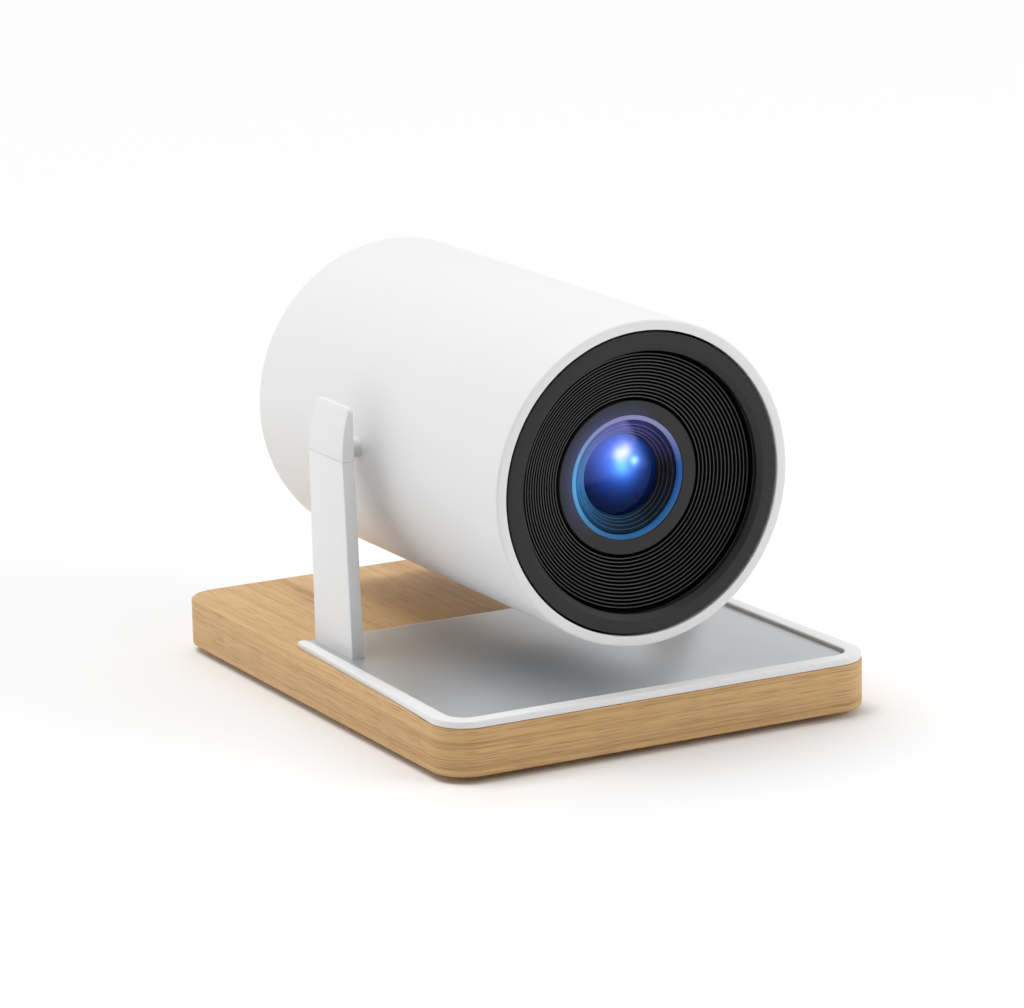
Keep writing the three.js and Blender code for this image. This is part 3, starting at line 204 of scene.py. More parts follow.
class Shading:
    """A Principled material and the few node chains that the finishes share."""

    def __init__(self, name, colour, roughness=0.5, metallic=0.0, specular=0.5):
        self.material = bpy.data.materials.new(name)
        self.material.use_nodes = True
        self.tree = self.material.node_tree
        self.shader = self.tree.nodes["Principled BSDF"]
        self.set("Base Color", (*colour, 1))
        self.set("Roughness", roughness)
        self.set("Metallic", metallic)
        self.set("Specular IOR Level", specular)
        self.place = self.tree.nodes.new("ShaderNodeTexCoord").outputs["Object"]

    def set(self, socket, value):
        self.shader.inputs[socket].default_value = value

    def drive(self, socket, source):
        self.link(source, self.shader.inputs[socket])

    def link(self, source, target):
        self.tree.links.new(source, target)

    def feed(self, sockets, values):
        """Links each value that is an output of a node, and sets each plain one."""
        for socket, value in zip(sockets, values):
            if isinstance(value, bpy.types.NodeSocket):
                self.link(value, socket)
            else:
                socket.default_value = value

    def node(self, kind, **inputs):
        made = self.tree.nodes.new(kind)
        self.feed([made.inputs[name] for name in inputs], inputs.values())
        return made

    def clamp(self, value):
        return self.node("ShaderNodeClamp", Value=value).outputs[0]

    def math(self, operation, first, second=0.0, third=0.0):
        made = self.tree.nodes.new("ShaderNodeMath")
        made.operation = operation
        self.feed(made.inputs, (first, second, third))
        return made.outputs[0]

    def times(self, first, second):
        return self.math("MULTIPLY", first, second)

    def plus(self, first, second):
        return self.math("ADD", first, second)

    def minus(self, first, second):
        return self.math("SUBTRACT", first, second)

    def over(self, first, second):
        return self.math("DIVIDE", first, second)

    def vector(self, operation, first, second=(0, 0, 0)):
        made = self.tree.nodes.new("ShaderNodeVectorMath")
        made.operation = operation
        self.feed(made.inputs, (first, second))
        return made

    def split(self, vector):
        return self.node("ShaderNodeSeparateXYZ", Vector=vector).outputs

    def noise(self, place, scale, detail=3.0, roughness=0.55, distortion=0.0):
        inputs = {"Scale": scale, "Detail": detail, "Roughness": roughness, "Distortion": distortion}
        return self.node("ShaderNodeTexNoise", Vector=place, **inputs).outputs["Fac"]

    def ramp(self, factor, *stops):
        made = self.tree.nodes.new("ShaderNodeValToRGB")
        self.link(factor, made.inputs["Fac"])
        elements = made.color_ramp.elements
        for index, (place, colour) in enumerate(stops):
            element = elements[index] if index < 2 else elements.new(place)
            element.position = place
            element.color = (*colour, 1) if len(colour) == 3 else colour
        return made.outputs["Color"]

    def between(self, factor, low_value, high_value):
        ends_of_range = {"To Min": low_value, "To Max": high_value}
        return self.node("ShaderNodeMapRange", Value=factor, **ends_of_range).outputs["Result"]

    def mix(self, factor, first, second, blend="MIX"):
        made = self.tree.nodes.new("ShaderNodeMix")
        made.data_type = "RGBA"
        made.blend_type = blend
        self.feed((made.inputs[0], made.inputs[6], made.inputs[7]), (factor, first, second))
        return made.outputs[2]

    def bump(self, height, strength, distance=0.0001):
        made = self.node("ShaderNodeBump", Height=height, Strength=strength, Distance=distance)
        self.drive("Normal", made.outputs["Normal"])

    def vary(self, colour, scale, spread, rough_low, rough_high):
        """Slow changes of tone and gloss, as on any moulded or painted surface."""
        slow = self.noise(self.place, scale, 4.0)
        tones = [tuple(channel * share for channel in colour) for share in (1 - spread, 1 + spread)]
        self.drive("Base Color", self.ramp(slow, (0.3, tones[0]), (0.7, tones[1])))
        fine = self.noise(self.place, scale * 9, 2.0)
        self.drive("Roughness", self.between(fine, rough_low, rough_high))


WHITE = (0.84, 0.84, 0.84)
CHARCOAL = (0.016, 0.016, 0.0157)
RING_CHARCOAL = (0.024, 0.024, 0.024)


def white_paint():
    """Powder-coated metal: a very fine orange peel."""
    made = Shading("white_powder_coat", WHITE)
    made.vary(WHITE, 12.0, 0.012, 0.34, 0.44)
    peel = made.noise(made.place, 1400.0, 2.0)
    grain = made.noise(made.place, 5200.0, 1.0)
    made.bump(made.plus(peel, grain), 0.06)
    return made.material


def moulded(name, colour, rough_low, rough_high, grain=(2600.0, 0.15), spread=0.1, specular=0.5):
    """Moulded plastic with a spark-eroded texture, whose grain has a scale and a strength."""
    made = Shading(name, colour, specular=specular)
    made.vary(colour, 30.0, spread, rough_low, rough_high)
    made.bump(made.noise(made.place, grain[0], 3.0), grain[1])
    return made.material


def blasted_metal(name, colour, rough_low, rough_high, metallic):
    """Bead-blasted and anodised sheet metal."""
    made = Shading(name, colour, metallic=metallic)
    made.vary(colour, 18.0, 0.03, rough_low, rough_high)
    made.bump(made.noise(made.place, 3000.0, 3.0), 0.12)
    return made.material


def turned_metal(name, colour, rough_low, rough_high, axis):
    """Bright metal with fine tool marks across the given axis."""
    made = Shading(name, colour, metallic=1.0)
    made.vary(colour, 60.0, 0.04, rough_low, rough_high)
    stretch = [40.0, 40.0, 40.0]
    stretch[axis] = 9000.0
    marks = made.noise(made.vector("MULTIPLY", made.place, tuple(stretch)).outputs[0], 1.0, 2.0)
    made.bump(marks, 0.15)
    return made.material


BOARD_CORNER = 14.0
OAK_DARK = (0.43, 0.235, 0.085)
OAK_MIDDLE = (0.64, 0.400, 0.172)
OAK_LIGHT = (0.71, 0.475, 0.235)
OAK_PORE = (0.68, 0.57, 0.45)
# Painted shade: the near-black colour laid on the floors of the pockets in the board.
POCKET_SHADE = (0.012, 0.010, 0.009)


def oak():
    """Oiled oak: the grain runs along the top, and round the edge as on a band bent about the corners."""
    made = Shading("oiled_oak", OAK_MIDDLE, roughness=0.5)
    geometry = made.tree.nodes.new("ShaderNodeNewGeometry")
    upright = made.split(geometry.outputs["Normal"])[2]
    x, y, z = made.split(made.place)
    straight_x = (high("base_board").x - BOARD_CORNER) * MM
    straight_y = (high("base_board").y - BOARD_CORNER) * MM
    side_x = made.math("ABSOLUTE", x)
    past_x = made.math("MAXIMUM", made.minus(side_x, straight_x), 1e-6)
    past_y = made.math("MAXIMUM", made.minus(made.math("ABSOLUTE", y), straight_y), 1e-6)
    turn = made.minus(math.pi / 2, made.math("ARCTAN2", past_y, past_x))
    round_corner = made.times(turn, BOARD_CORNER * MM)
    clamped_y = made.math("MAXIMUM", made.math("MINIMUM", y, straight_y), -straight_y)
    run = made.plus(made.math("MINIMUM", side_x, straight_x), round_corner)
    run = made.plus(run, made.plus(clamped_y, straight_y))
    around = made.times(run, made.math("SIGN", x))
    flat = made.math("GREATER_THAN", made.math("ABSOLUTE", upright), 0.75)
    on_top = made.node("ShaderNodeCombineXYZ", X=x, Y=y).outputs[0]
    on_edge = made.node("ShaderNodeCombineXYZ", X=z, Y=around, Z=0.31).outputs[0]
    place = made.mix(flat, on_edge, on_top)

    def grain(across, along, detail, distortion=0.0):
        stretched = made.vector("MULTIPLY", place, (across, along, across)).outputs[0]
        return made.noise(stretched, 1.0, detail, 0.6, distortion)

    broad = grain(70.0, 1.6, 2.0, 0.4)
    bands = grain(420.0, 4.0, 3.0, 0.3)
    lines = grain(1500.0, 9.0, 3.0)
    pores = grain(4200.0, 60.0, 1.0)
    mixed = made.plus(made.times(broad, 0.38), made.times(bands, 0.34))
    mixed = made.plus(mixed, made.times(lines, 0.28))
    colour = made.ramp(mixed, (0.37, OAK_DARK), (0.485, OAK_MIDDLE), (0.62, OAK_LIGHT))
    specks = made.ramp(pores, (0.56, (1, 1, 1)), (0.68, OAK_PORE))
    colour = made.mix(1.0, colour, specks, "MULTIPLY")
    # The upward floors of the board's pockets, below its top, are painted near black: painted shade in the gaps
    # round the rim and the deck.
    below = made.math("LESS_THAN", z, (BOARD_TOP - 0.9) * MM)
    shaded_pocket_floor = made.times(below, made.math("GREATER_THAN", upright, 0.75))
    made.drive("Base Color", made.mix(shaded_pocket_floor, colour, (*POCKET_SHADE, 1)))
    made.drive("Roughness", made.between(lines, 0.44, 0.60))
    made.bump(made.plus(lines, pores), 0.3)
    return made.material


def clear_glass():
    """Plain optical glass behind the lit lens."""
    made = Shading("clear_optics", (0.9, 0.95, 1.0), roughness=0.03)
    made.set("Transmission Weight", 0.9)
    made.drive("Roughness", made.between(made.noise(made.place, 160.0, 3.0), 0.02, 0.06))
    return made.material


def front_glass():
    """Clear glass with a painted reflection over its upper part: a lavender emission, as of the coating mirroring
    a light, edged by two soft borders.
    """
    made = Shading("coated_front_glass", (0.7, 0.7, 1.0))
    tree = made.tree
    clear = tree.nodes.new("ShaderNodeBsdfTransparent")
    clear.inputs["Color"].default_value = (0.92, 0.94, 1.0, 1)
    x, _, z = from_axis(made)
    lower_border = made.plus(z, made.times(x, -0.16))
    above = made.over(made.minus(lower_border, 1.0 * MM), 2.2 * MM)
    side_border = made.plus(made.times(z, 0.42), x)
    inside = made.over(made.minus(10.5 * MM, side_border), 2.6 * MM)
    # Painted reflection: the lavender emission covers the upper part of the glass.
    painted_reflection = made.times(made.clamp(above), made.clamp(inside))
    rise = made.clamp(made.over(z, BEVEL_INNER * MM))
    faint = made.math("MULTIPLY_ADD", rise, 0.85, 0.15)
    smear = made.between(made.noise(made.place, 120.0, 3.0), 0.75, 1.15)
    strength = made.times(made.times(painted_reflection, faint), smear)
    glow = tree.nodes.new("ShaderNodeEmission")
    glow.inputs["Color"].default_value = (0.36, 0.40, 0.95, 1)
    made.link(made.times(strength, 0.13), glow.inputs["Strength"])
    added = tree.nodes.new("ShaderNodeAddShader")
    made.link(clear.outputs[0], added.inputs[0])
    made.link(glow.outputs[0], added.inputs[1])
    made.link(added.outputs[0], tree.nodes["Material Output"].inputs["Surface"])
    return made.material


def lens_ring_plastic():
    """Charcoal plastic with a faint blue glow painted on as emission on the side next to the coating: painted
    stray light.
    """
    made = Shading("lens_ring_plastic", RING_CHARCOAL, specular=0.35)
    made.vary(RING_CHARCOAL, 30.0, 0.08, 0.46, 0.56)
    x, _, z = from_axis(made)
    reach = reach_from_axis(made)
    up_left = made.minus(made.times(z, 0.55), made.times(x, 0.83))
    toward = made.over(up_left, reach)
    close = made.clamp(made.over(made.minus(LENS_RING_RADIUS * MM, reach), 5.5 * MM))
    glow = made.times(made.clamp(toward), close)
    # Painted light: the blue glow is emission, up and to the left and close to the glass.
    made.drive("Emission Color", made.mix(glow, (0, 0, 0, 1), (0.022, 0.032, 0.12, 1)))
    made.set("Emission Strength", 1.0)
    made.bump(made.noise(made.place, 2600.0, 3.0), 0.12)
    return made.material


def from_axis(made):
    """Across, depth and height of a point, with the optical axis as the origin."""
    return made.split(made.vector("SUBTRACT", made.place, Vector(AXIS_POINT) * MM).outputs[0])


def reach_from_axis(made):
    x, _, z = from_axis(made)
    return made.math("SQRT", made.plus(made.times(x, x), made.times(z, z)))


def around_axis(made):
    """Side and height of a point from the optical axis, each 0 to 1 across the front glass."""
    x, _, z = from_axis(made)
    reach = high("front_lens").x * MM
    side = made.clamp(made.math("MULTIPLY_ADD", x, 0.5 / reach, 0.5))
    height = made.clamp(made.math("MULTIPLY_ADD", z, 0.5 / reach, 0.5))
    return side, height


def four_way(made, left, right, bottom, top):
    """Blends four colours by where a point lies round the axis."""
    side, height = around_axis(made)
    level = made.ramp(side, (0.08, left), (0.72, right))
    low_part = made.ramp(height, (0.0, (1, 1, 1)), (0.45, (0, 0, 0)))
    high_part = made.ramp(height, (0.55, (0, 0, 0)), (0.95, (1, 1, 1)))
    return made.mix(high_part, made.mix(low_part, level, (*bottom, 1)), (*top, 1))


def painted_bevel_light():
    """The coated bevel round the front glass, its light painted on as emission: sky blue at the side and below,
    lavender on top.
    """
    made = Shading("bevel_painted_light", (0.01, 0.02, 0.04), roughness=0.25, specular=0.15)
    left, right = (0.105, 0.40, 0.70), (0.016, 0.080, 0.30)
    colour = four_way(made, left, right, (0.020, 0.120, 0.29), (0.27, 0.27, 0.50))
    shimmer = made.noise(made.place, 210.0, 3.0)
    # Painted light: the colours are emission, not the coating's own colour.
    made.drive("Emission Color", made.mix(0.18, colour, shimmer, "MULTIPLY"))
    made.set("Emission Strength", 0.95)
    return made.material


def painted_throat_light():
    """The dark stepped wall inside the lens, with blue light painted on as emission where the coating catches the
    lamp.
    """
    made = Shading("throat_painted_light", (0.003, 0.003, 0.003), roughness=0.35, specular=0.12)
    left, right = (0.020, 0.150, 0.34), (0.004, 0.004, 0.005)
    colour = four_way(made, left, right, (0.003, 0.009, 0.014), (0.030, 0.026, 0.11))
    bands = made.noise(made.vector("MULTIPLY", made.place, (60, 900, 60)).outputs[0], 1.0, 2.0)
    # Painted light: the blue bands are emission.
    made.drive("Emission Color", made.mix(0.8, colour, bands, "MULTIPLY"))
    inside = made.math("LESS_THAN", reach_from_axis(made), BEVEL_OUTER * MM - 1.2 * MM)
    made.drive("Emission Strength", made.times(inside, 1.5))
    return made.material


def painted_edge_glints():
    """The thin polished edges of the glass seats, with their glints painted on as emission."""
    made = Shading("edge_painted_glint", (0.02, 0.02, 0.02), roughness=0.3, specular=0.2)
    left, right = (0.085, 0.30, 0.55), (0.030, 0.026, 0.025)
    colour = four_way(made, left, right, (0.05, 0.08, 0.10), (0.18, 0.16, 0.40))
    uneven = made.mix(0.2, colour, made.noise(made.place, 300.0), "MULTIPLY")
    # Painted highlight: the glints are emission.
    made.drive("Emission Color", uneven)
    made.set("Emission Strength", 0.8)
    return made.material


# Each glow is a soft spot of painted light on the lens: its place across and up from the axis, its radius, its
# colour.
GLOWS = (
    (-1.9, 8.3, 2.5, (0.62, 0.50, 0.66)),
    (1.3, 9.2, 2.6, (0.74, 0.58, 0.74)),
    (4.8, 5.3, 1.5, (0.42, 0.85, 0.95)),
    (-1.6, 4.0, 3.0, (0.08, 0.36, 0.50)),
    (0.6, 6.0, 6.0, (0.10, 0.32, 1.00)),
    (-1.0, 4.4, 10.0, (0.016, 0.070, 0.42)),
    (-3.5, 8.5, 8.5, (0.030, 0.070, 0.34)),
)


def glowing_lens():
    """The inner lens with the light of a lamp behind it painted on as emission: white highlights in a blue glow
    that fades to navy.
    """
    made = Shading("lit_lens", (0.001, 0.002, 0.008), roughness=0.06, specular=0.08)
    warp = made.noise(made.place, 130.0, 2.0)
    x, _, z = from_axis(made)
    x = made.plus(x, made.times(made.minus(warp, 0.5), 3 * MM))
    total = (0.0, 0.001, 0.006, 1)
    for across, up, radius, colour in GLOWS:
        from_x = made.over(made.minus(x, across * MM), radius * MM)
        from_z = made.over(made.minus(z, up * MM), radius * MM)
        square = made.math("MULTIPLY_ADD", from_x, from_x, made.times(from_z, from_z))
        fall = made.math("POWER", math.e, made.times(square, -1.0))
        spot = made.vector("SCALE", colour)
        made.link(fall, spot.inputs["Scale"])
        total = made.mix(1.0, total, spot.outputs[0], "ADD")
    # Painted light: the spots and the glow are emission on the lens.
    made.drive("Emission Color", total)
    made.set("Emission Strength", 1.0)
    return made.material


def circuit_board():
    made = Shading("green_solder_mask", (0.015, 0.1, 0.035), roughness=0.35)
    tracks = made.node("ShaderNodeTexVoronoi", Vector=made.place, Scale=420.0)
    tracks.feature = "DISTANCE_TO_EDGE"
    line = made.ramp(tracks.outputs["Distance"], (0.03, (0.03, 0.2, 0.07)), (0.07, (0.012, 0.08, 0.028)))
    made.drive("Base Color", line)
    made.bump(tracks.outputs["Distance"], 0.1)
    return made.material


def ridged_plastic():
    """Near black in the grooves as painted shade, with satin crests."""
    made = Shading("ridged_plastic", (0.002, 0.002, 0.002), roughness=0.45)
    first_y, last_y = crest_line()
    y = from_axis(made)[1]
    reach = reach_from_axis(made)
    slope = (last_y - first_y) / (FIRST_CREST - LAST_CREST)
    crest = made.math("MULTIPLY_ADD", made.minus(FIRST_CREST * MM, reach), slope)
    depth = made.minus(made.minus(y, first_y * MM), crest)
    on_crest = made.math("LESS_THAN", depth, 0.22 * MM)
    mottle = made.noise(made.place, 900.0, 2.0)
    grain = made.ramp(mottle, (0.3, (0.040, 0.040, 0.038)), (0.7, (0.055, 0.055, 0.052)))
    # Painted shade: the grooves get a darker colour than the crests.
    made.drive("Base Color", made.mix(on_crest, (0.0015, 0.0015, 0.0015, 1), grain))
    made.drive("Roughness", made.between(on_crest, 0.9, 0.42))
    made.drive("Specular IOR Level", made.between(on_crest, 0.05, 0.5))
    made.bump(made.noise(made.place, 2600.0, 2.0), 0.1)
    return made.material


def make_finishes():
    return {
        "oak": oak(),
        "white_paint": white_paint(),
        "white_plastic": moulded("white_key_plastic", (0.78, 0.78, 0.775), 0.42, 0.52, spread=0.02),
        "deck_metal": blasted_metal("satin_grey_deck", (0.605, 0.622, 0.64), 0.26, 0.34, 0.7),
        "steel": turned_metal("zinc_plated_steel", (0.56, 0.57, 0.59), 0.26, 0.38, 2),
        "bare_aluminium": turned_metal("bare_aluminium", (0.66, 0.67, 0.69), 0.28, 0.4, 0),
        "screw_brass": turned_metal("brass", (0.62, 0.44, 0.14), 0.22, 0.34, 1),
        "dark_plastic": moulded("charcoal_plastic", CHARCOAL, 0.46, 0.58, specular=0.4),
        "black_plastic": moulded("black_plastic", (0.010, 0.010, 0.010), 0.34, 0.46),
        "foot_rubber": moulded("foot_rubber", (0.014, 0.014, 0.014), 0.75, 0.9, (1800.0, 0.3)),
        "washer_acetal": moulded("acetal", (0.66, 0.64, 0.58), 0.3, 0.4, spread=0.02),
        "coated_glass": front_glass(),
        "clear_glass": clear_glass(),
        "lens_ring_plastic": lens_ring_plastic(),
        "panel_glass": moulded("smoked_window", (0.012, 0.010, 0.014), 0.05, 0.09, (900.0, 0.01)),
        "circuit_board": circuit_board(),
        "ridged_plastic": ridged_plastic(),
        "lit_lens": glowing_lens(),
        "bevel_painted_light": painted_bevel_light(),
        "throat_painted_light": painted_throat_light(),
        "edge_painted_glint": painted_edge_glints(),
    }


# ------------ mesh building


def finished(name, bm, body, slot, finish=None, stands_for=()):
    """Turns a bmesh into a piece: normals out, sharp edges marked, the finish of its slot unless another finish is
    named, and hung on its body.
    """
    bmesh.ops.remove_doubles(bm, verts=bm.verts, dist=1e-7)
    bmesh.ops.recalc_face_normals(bm, faces=bm.faces)
    for face in bm.faces:
        face.smooth = True
    for edge in bm.edges:
        edge.smooth = len(edge.link_faces) == 2 and edge.calc_face_angle(0) < SMOOTH_ANGLE
    piece = carried(name, bm)
    piece.data.materials.append(FINISHES[finish or slot])
    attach(piece, body)
    if stands_for:
        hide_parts(*stands_for)


def filleted(points, radius, steps=4):
    """A closed outline with an arc at each corner. A point may hold its own radius as a third number."""
    result = []
    count = len(points)
    for index, point in enumerate(points):
        here = Vector(point[:2])
        wanted = point[2] if len(point) > 2 else radius
        if wanted <= 0:
            result.append(here)
            continue
        before = Vector(points[index - 1][:2]) - here
        after = Vector(points[(index + 1) % count][:2]) - here
        half_angle = before.angle(after) / 2
        if half_angle > math.pi / 2 - 0.02:
            result.append(here)
            continue
        trim = min(wanted / math.tan(half_angle), before.length * 0.49, after.length * 0.49)
        arc_radius = trim * math.tan(half_angle)
        inward = (before.normalized() + after.normalized()).normalized()
        centre = here + inward * (arc_radius / math.sin(half_angle))
        start = here + before.normalized() * trim - centre
        end = here + after.normalized() * trim - centre
        turn = start.angle_signed(end) if start.length > 1e-9 else 0
        for step in range(steps + 1):
            angle = -turn * step / steps
            spun = Vector((
                start.x * math.cos(angle) - start.y * math.sin(angle),
                start.x * math.sin(angle) + start.y * math.cos(angle),
            ))
            result.append(centre + spun)
    return result


AXES = {
    "x": lambda radius, along, angle: (along, radius * math.cos(angle), radius * math.sin(angle)),
    "y": lambda radius, along, angle: (radius * math.cos(angle), along, radius * math.sin(angle)),
    "z": lambda radius, along, angle: (radius * math.cos(angle), radius * math.sin(angle), along),
}


def turned(profile, axis="y", centre=(0, 0, 0), segments=ROUND_SEGMENTS, closed=True):
    """A bmesh turned about an axis through centre. The profile holds (radius, along) points."""
    bm = bmesh.new()
    place = Vector(centre)
    rings = []
    for radius, along in profile:
        count = 1 if radius < 1e-6 else segments
        points = [AXES[axis](radius, along, 2 * math.pi * index / segments) for index in range(count)]
        rings.append([bm.verts.new((place + Vector(point)) * MM) for point in points])
    pairs = list(zip(rings, rings[1:]))
    if closed:
        pairs.append((rings[-1], rings[0]))
    for first, second in pairs:
        for index in range(segments):
            corners = [
                first[index % len(first)],
                first[(index + 1) % segments % len(first)],
                second[(index + 1) % segments % len(second)],
                second[index % len(second)],
            ]
            unique = list(dict.fromkeys(corners))
            if len(unique) > 2:
                bm.faces.new(unique)
    return bm


PLANES = {
    "xy": lambda u, v, w: (u, v, w),
    "yz": lambda u, v, w: (w, u, v),
    "xz": lambda u, v, w: (u, w, v),
}


def prism(outline, start, end, plane="xy", edge=0.0, segments=3):
    """A bmesh of an outline in a plane, drawn out from start to end, with its rims rounded."""
    bm = bmesh.new()
    base = [bm.verts.new(Vector(PLANES[plane](u, v, start)) * MM) for u, v in outline]
    top = [bm.verts.new(Vector(PLANES[plane](u, v, end)) * MM) for u, v in outline]
    bm.faces.new(base)
    bm.faces.new(top)
    for index in range(len(outline)):
        following = (index + 1) % len(outline)
        bm.faces.new([base[index], base[following], top[following], top[index]])
    bmesh.ops.recalc_face_normals(bm, faces=bm.faces)
    if edge > 0:
        sharp = [e for e in bm.edges if e.calc_face_angle(0) > SMOOTH_ANGLE]
        bmesh.ops.bevel(bm, geom=sharp, offset=edge * MM, segments=segments, profile=0.5, affect="EDGES")
    return bm


def rectangle(low_corner, high_corner):
    (x0, y0), (x1, y1) = low_corner, high_corner
    return [(x0, y0), (x1, y0), (x1, y1), (x0, y1)]


def block(x, y, z, edge=0.0):
    return prism(rectangle((x[0], y[0]), (x[1], y[1])), z[0], z[1], "xy", edge)


def merged(*parts):
    """Several bmeshes as one. Closed parts may overlap."""
    whole = bmesh.new()
    for part in parts:
        mesh = bpy.data.meshes.new("part")
        part.to_mesh(mesh)
        part.free()
        whole.from_mesh(mesh)
        bpy.data.meshes.remove(mesh)
    return whole


def carried(name, bm):
    """An object in the scene that holds a bmesh, which it frees."""
    bmesh.ops.recalc_face_normals(bm, faces=bm.faces)
    mesh = bpy.data.meshes.new(name)
    bm.to_mesh(mesh)
    bm.free()
    return placed(name, mesh)


def cut(bm, *tools):
    """Takes other closed bmeshes away from a bmesh with an exact boolean."""
    carrier = carried("body", bm)
    helpers = [carried("tool", tool) for tool in tools]
    for helper in helpers:
        modifier = carrier.modifiers.new("cut", "BOOLEAN")
        modifier.operation = "DIFFERENCE"
        modifier.solver = "EXACT"
        modifier.object = helper
    bpy.context.view_layer.update()
    graph = bpy.context.evaluated_depsgraph_get()
    result = bmesh.new()
    result.from_object(carrier, graph)
    for item in [carrier, *helpers]:
        data = item.data
        bpy.data.objects.remove(item)
        bpy.data.meshes.remove(data)
    return result


def arc(centre, radius, start, end, steps):
    """Points on an arc from start to end, in degrees."""
    points = []
    for step in range(steps + 1):
        angle = math.radians(start + (end - start) * step / steps)
        points.append((centre[0] + radius * math.cos(angle), centre[1] + radius * math.sin(angle)))
    return points


def rounded_rectangle(low_corner, high_corner, radius, steps=16):
    (x0, y0), (x1, y1) = low_corner, high_corner
    return [
        *arc((x1 - radius, y0 + radius), radius, -90, 0, steps),
        *arc((x1 - radius, y1 - radius), radius, 0, 90, steps),
        *arc((x0 + radius, y1 - radius), radius, 90, 180, steps),
        *arc((x0 + radius, y0 + radius), radius, 180, 270, steps),
    ]


def slot_outline(low_corner, high_corner):
    """A slot with round ends, along its longer side."""
    across = min(high_corner[0] - low_corner[0], high_corner[1] - low_corner[1])
    return rounded_rectangle(low_corner, high_corner, across / 2 - 0.01, 6)


# ------------ stand

BOARD_EDGE = 1.0
RIM_INSET = high("base_board").x - high("rim_trim").x
RIM_WIDTH = 6.0
RIM_REAR_WIDTH = 4.2
RIM_REAR_LEAN = 4.1
SEAM = 0.3
REVEAL = 1.2
SLOT_GAP = 0.15
RIM_DROP = 0.24
UNDERCUT = 0.7
UNDERCUT_LIP = 0.8


def rim_outline(slack):
    """A U open to the rear. Its legs lean in, and narrow to round ends."""
    outer_x = high("rim_trim").x + slack
    front = low("rim_trim").y - slack
    radius = BOARD_CORNER - RIM_INSET + slack
    inner_radius = radius - RIM_WIDTH - 2 * slack
    end_radius = RIM_REAR_WIDTH / 2 + slack
    end_x = outer_x - RIM_REAR_LEAN - end_radius
    end_y = high("rim_trim").y + slack - end_radius
    left, right = (-outer_x + radius, front + radius), (outer_x - radius, front + radius)
    return [
        *arc(left, radius, 180, 270, 20),
        *arc(right, radius, 270, 360, 20),
        *arc((end_x, end_y), end_radius, 0, 180, 14),
        *arc(right, inner_radius, 360, 270, 14),
        *arc(left, inner_radius, 270, 180, 14),
        *arc((-end_x, end_y), end_radius, 0, 180, 14),
    ]


def rim_inner_x(y):
    """Where the inner side of the rim's legs runs, at a given Y."""
    start_x = high("rim_trim").x - RIM_WIDTH
    start_y = low("rim_trim").y + BOARD_CORNER - RIM_INSET
    end_x = high("rim_trim").x - RIM_REAR_LEAN - RIM_REAR_WIDTH
    end_y = high("rim_trim").y - RIM_REAR_WIDTH / 2
    return start_x + (end_x - start_x) * (y - start_y) / (end_y - start_y)


def deck_outline(slack, rear_slack):
    """The deck's sides stay a fixed distance from the rim's legs."""
    front = low("deck_plate").y - slack
    rear = high("deck_plate").y + rear_slack
    corner = BOARD_CORNER - RIM_INSET - RIM_WIDTH - REVEAL + slack
    front_x = rim_inner_x(front + corner) - REVEAL + slack
    rear_x = rim_inner_x(rear) - REVEAL + slack
    return [
        *arc((-front_x + corner, front + corner), corner, 180, 270, 14),
        *arc((front_x - corner, front + corner), corner, 270, 360, 14),
        (rear_x, rear),
        (-rear_x, rear),
    ]


def arm_section(side, slack=0.0):
    """The near and the far side of an arm, as distances from the middle plane."""
    near, far = sorted(abs(end.x) for end in ends(f"arm_cap_{side}"))
    return near - slack, far + slack


def make_board():
    lowest, highest = ends("base_board")
    outline = rounded_rectangle((lowest.x, lowest.y), (highest.x, highest.y), BOARD_CORNER)
    plank = prism(outline, lowest.z, highest.z, edge=BOARD_EDGE)
    ledge = prism(rim_outline(SEAM), low("rim_trim").z - SEAM, highest.z + 1)
    pocket = prism(deck_outline(REVEAL - SEAM, SEAM), low("deck_plate").z - SEAM, highest.z + 1)
    bar_low, bar_high = ends("yoke_bar")
    recess = block(
        (bar_low.x - SEAM, bar_high.x + SEAM),
        (bar_low.y - SEAM, bar_high.y + SEAM),
        (bar_low.z - SEAM, highest.z + 1),
    )
    finished("oak_board", cut(plank, ledge, pocket, recess), "stand", "oak", stands_for=["base_board"])


def make_rim():
    top = high("rim_trim").z
    band = prism(rim_outline(0), low("rim_trim").z - RIM_DROP, top, edge=0.5, segments=4)
    leg_end = high("rim_trim").y - RIM_REAR_WIDTH - high("deck_plate").y
    undercut = prism(deck_outline(REVEAL + UNDERCUT, leg_end), BOARD_BOTTOM, top - UNDERCUT_LIP)
    bm = cut(band, undercut)
    finished("rim_band", bm, "stand", "white_paint", stands_for=["rim_trim"])


def make_deck():
    top = high("deck_plate").z
    plate = prism(deck_outline(0, 0), low("deck_plate").z, top, edge=0.25)
    slots = []
    for name, side in SIDES:
        span = sorted(side * edge for edge in arm_section(name, SLOT_GAP))
        slots.append(block(span, shrunk(ARM_FOOT, -SLOT_GAP), (top - 4, top + 1)))
    finished("deck_sheet", cut(plate, *slots), "stand", "deck_metal", stands_for=["deck_plate"])


ARM_FOOT = (low("arm_left").y, high("arm_left").y - 0.6)
ARM_SEAM = (low("arm_cap_left").y + 0.2, high("arm_cap_left").y)
CAP_TOP = (low("arm_cap_left").y, high("arm_cap_left").y - 1.8)
CAP_TOP_THICKNESS = 1.8
CAP_CORNER = 2.4
CAP_STEPS = 30
ARM_EDGE = 0.5
SEAM_CHAMFER = 0.25
SEAM_INSET = 0.08
TAB_HEIGHT = 7.3


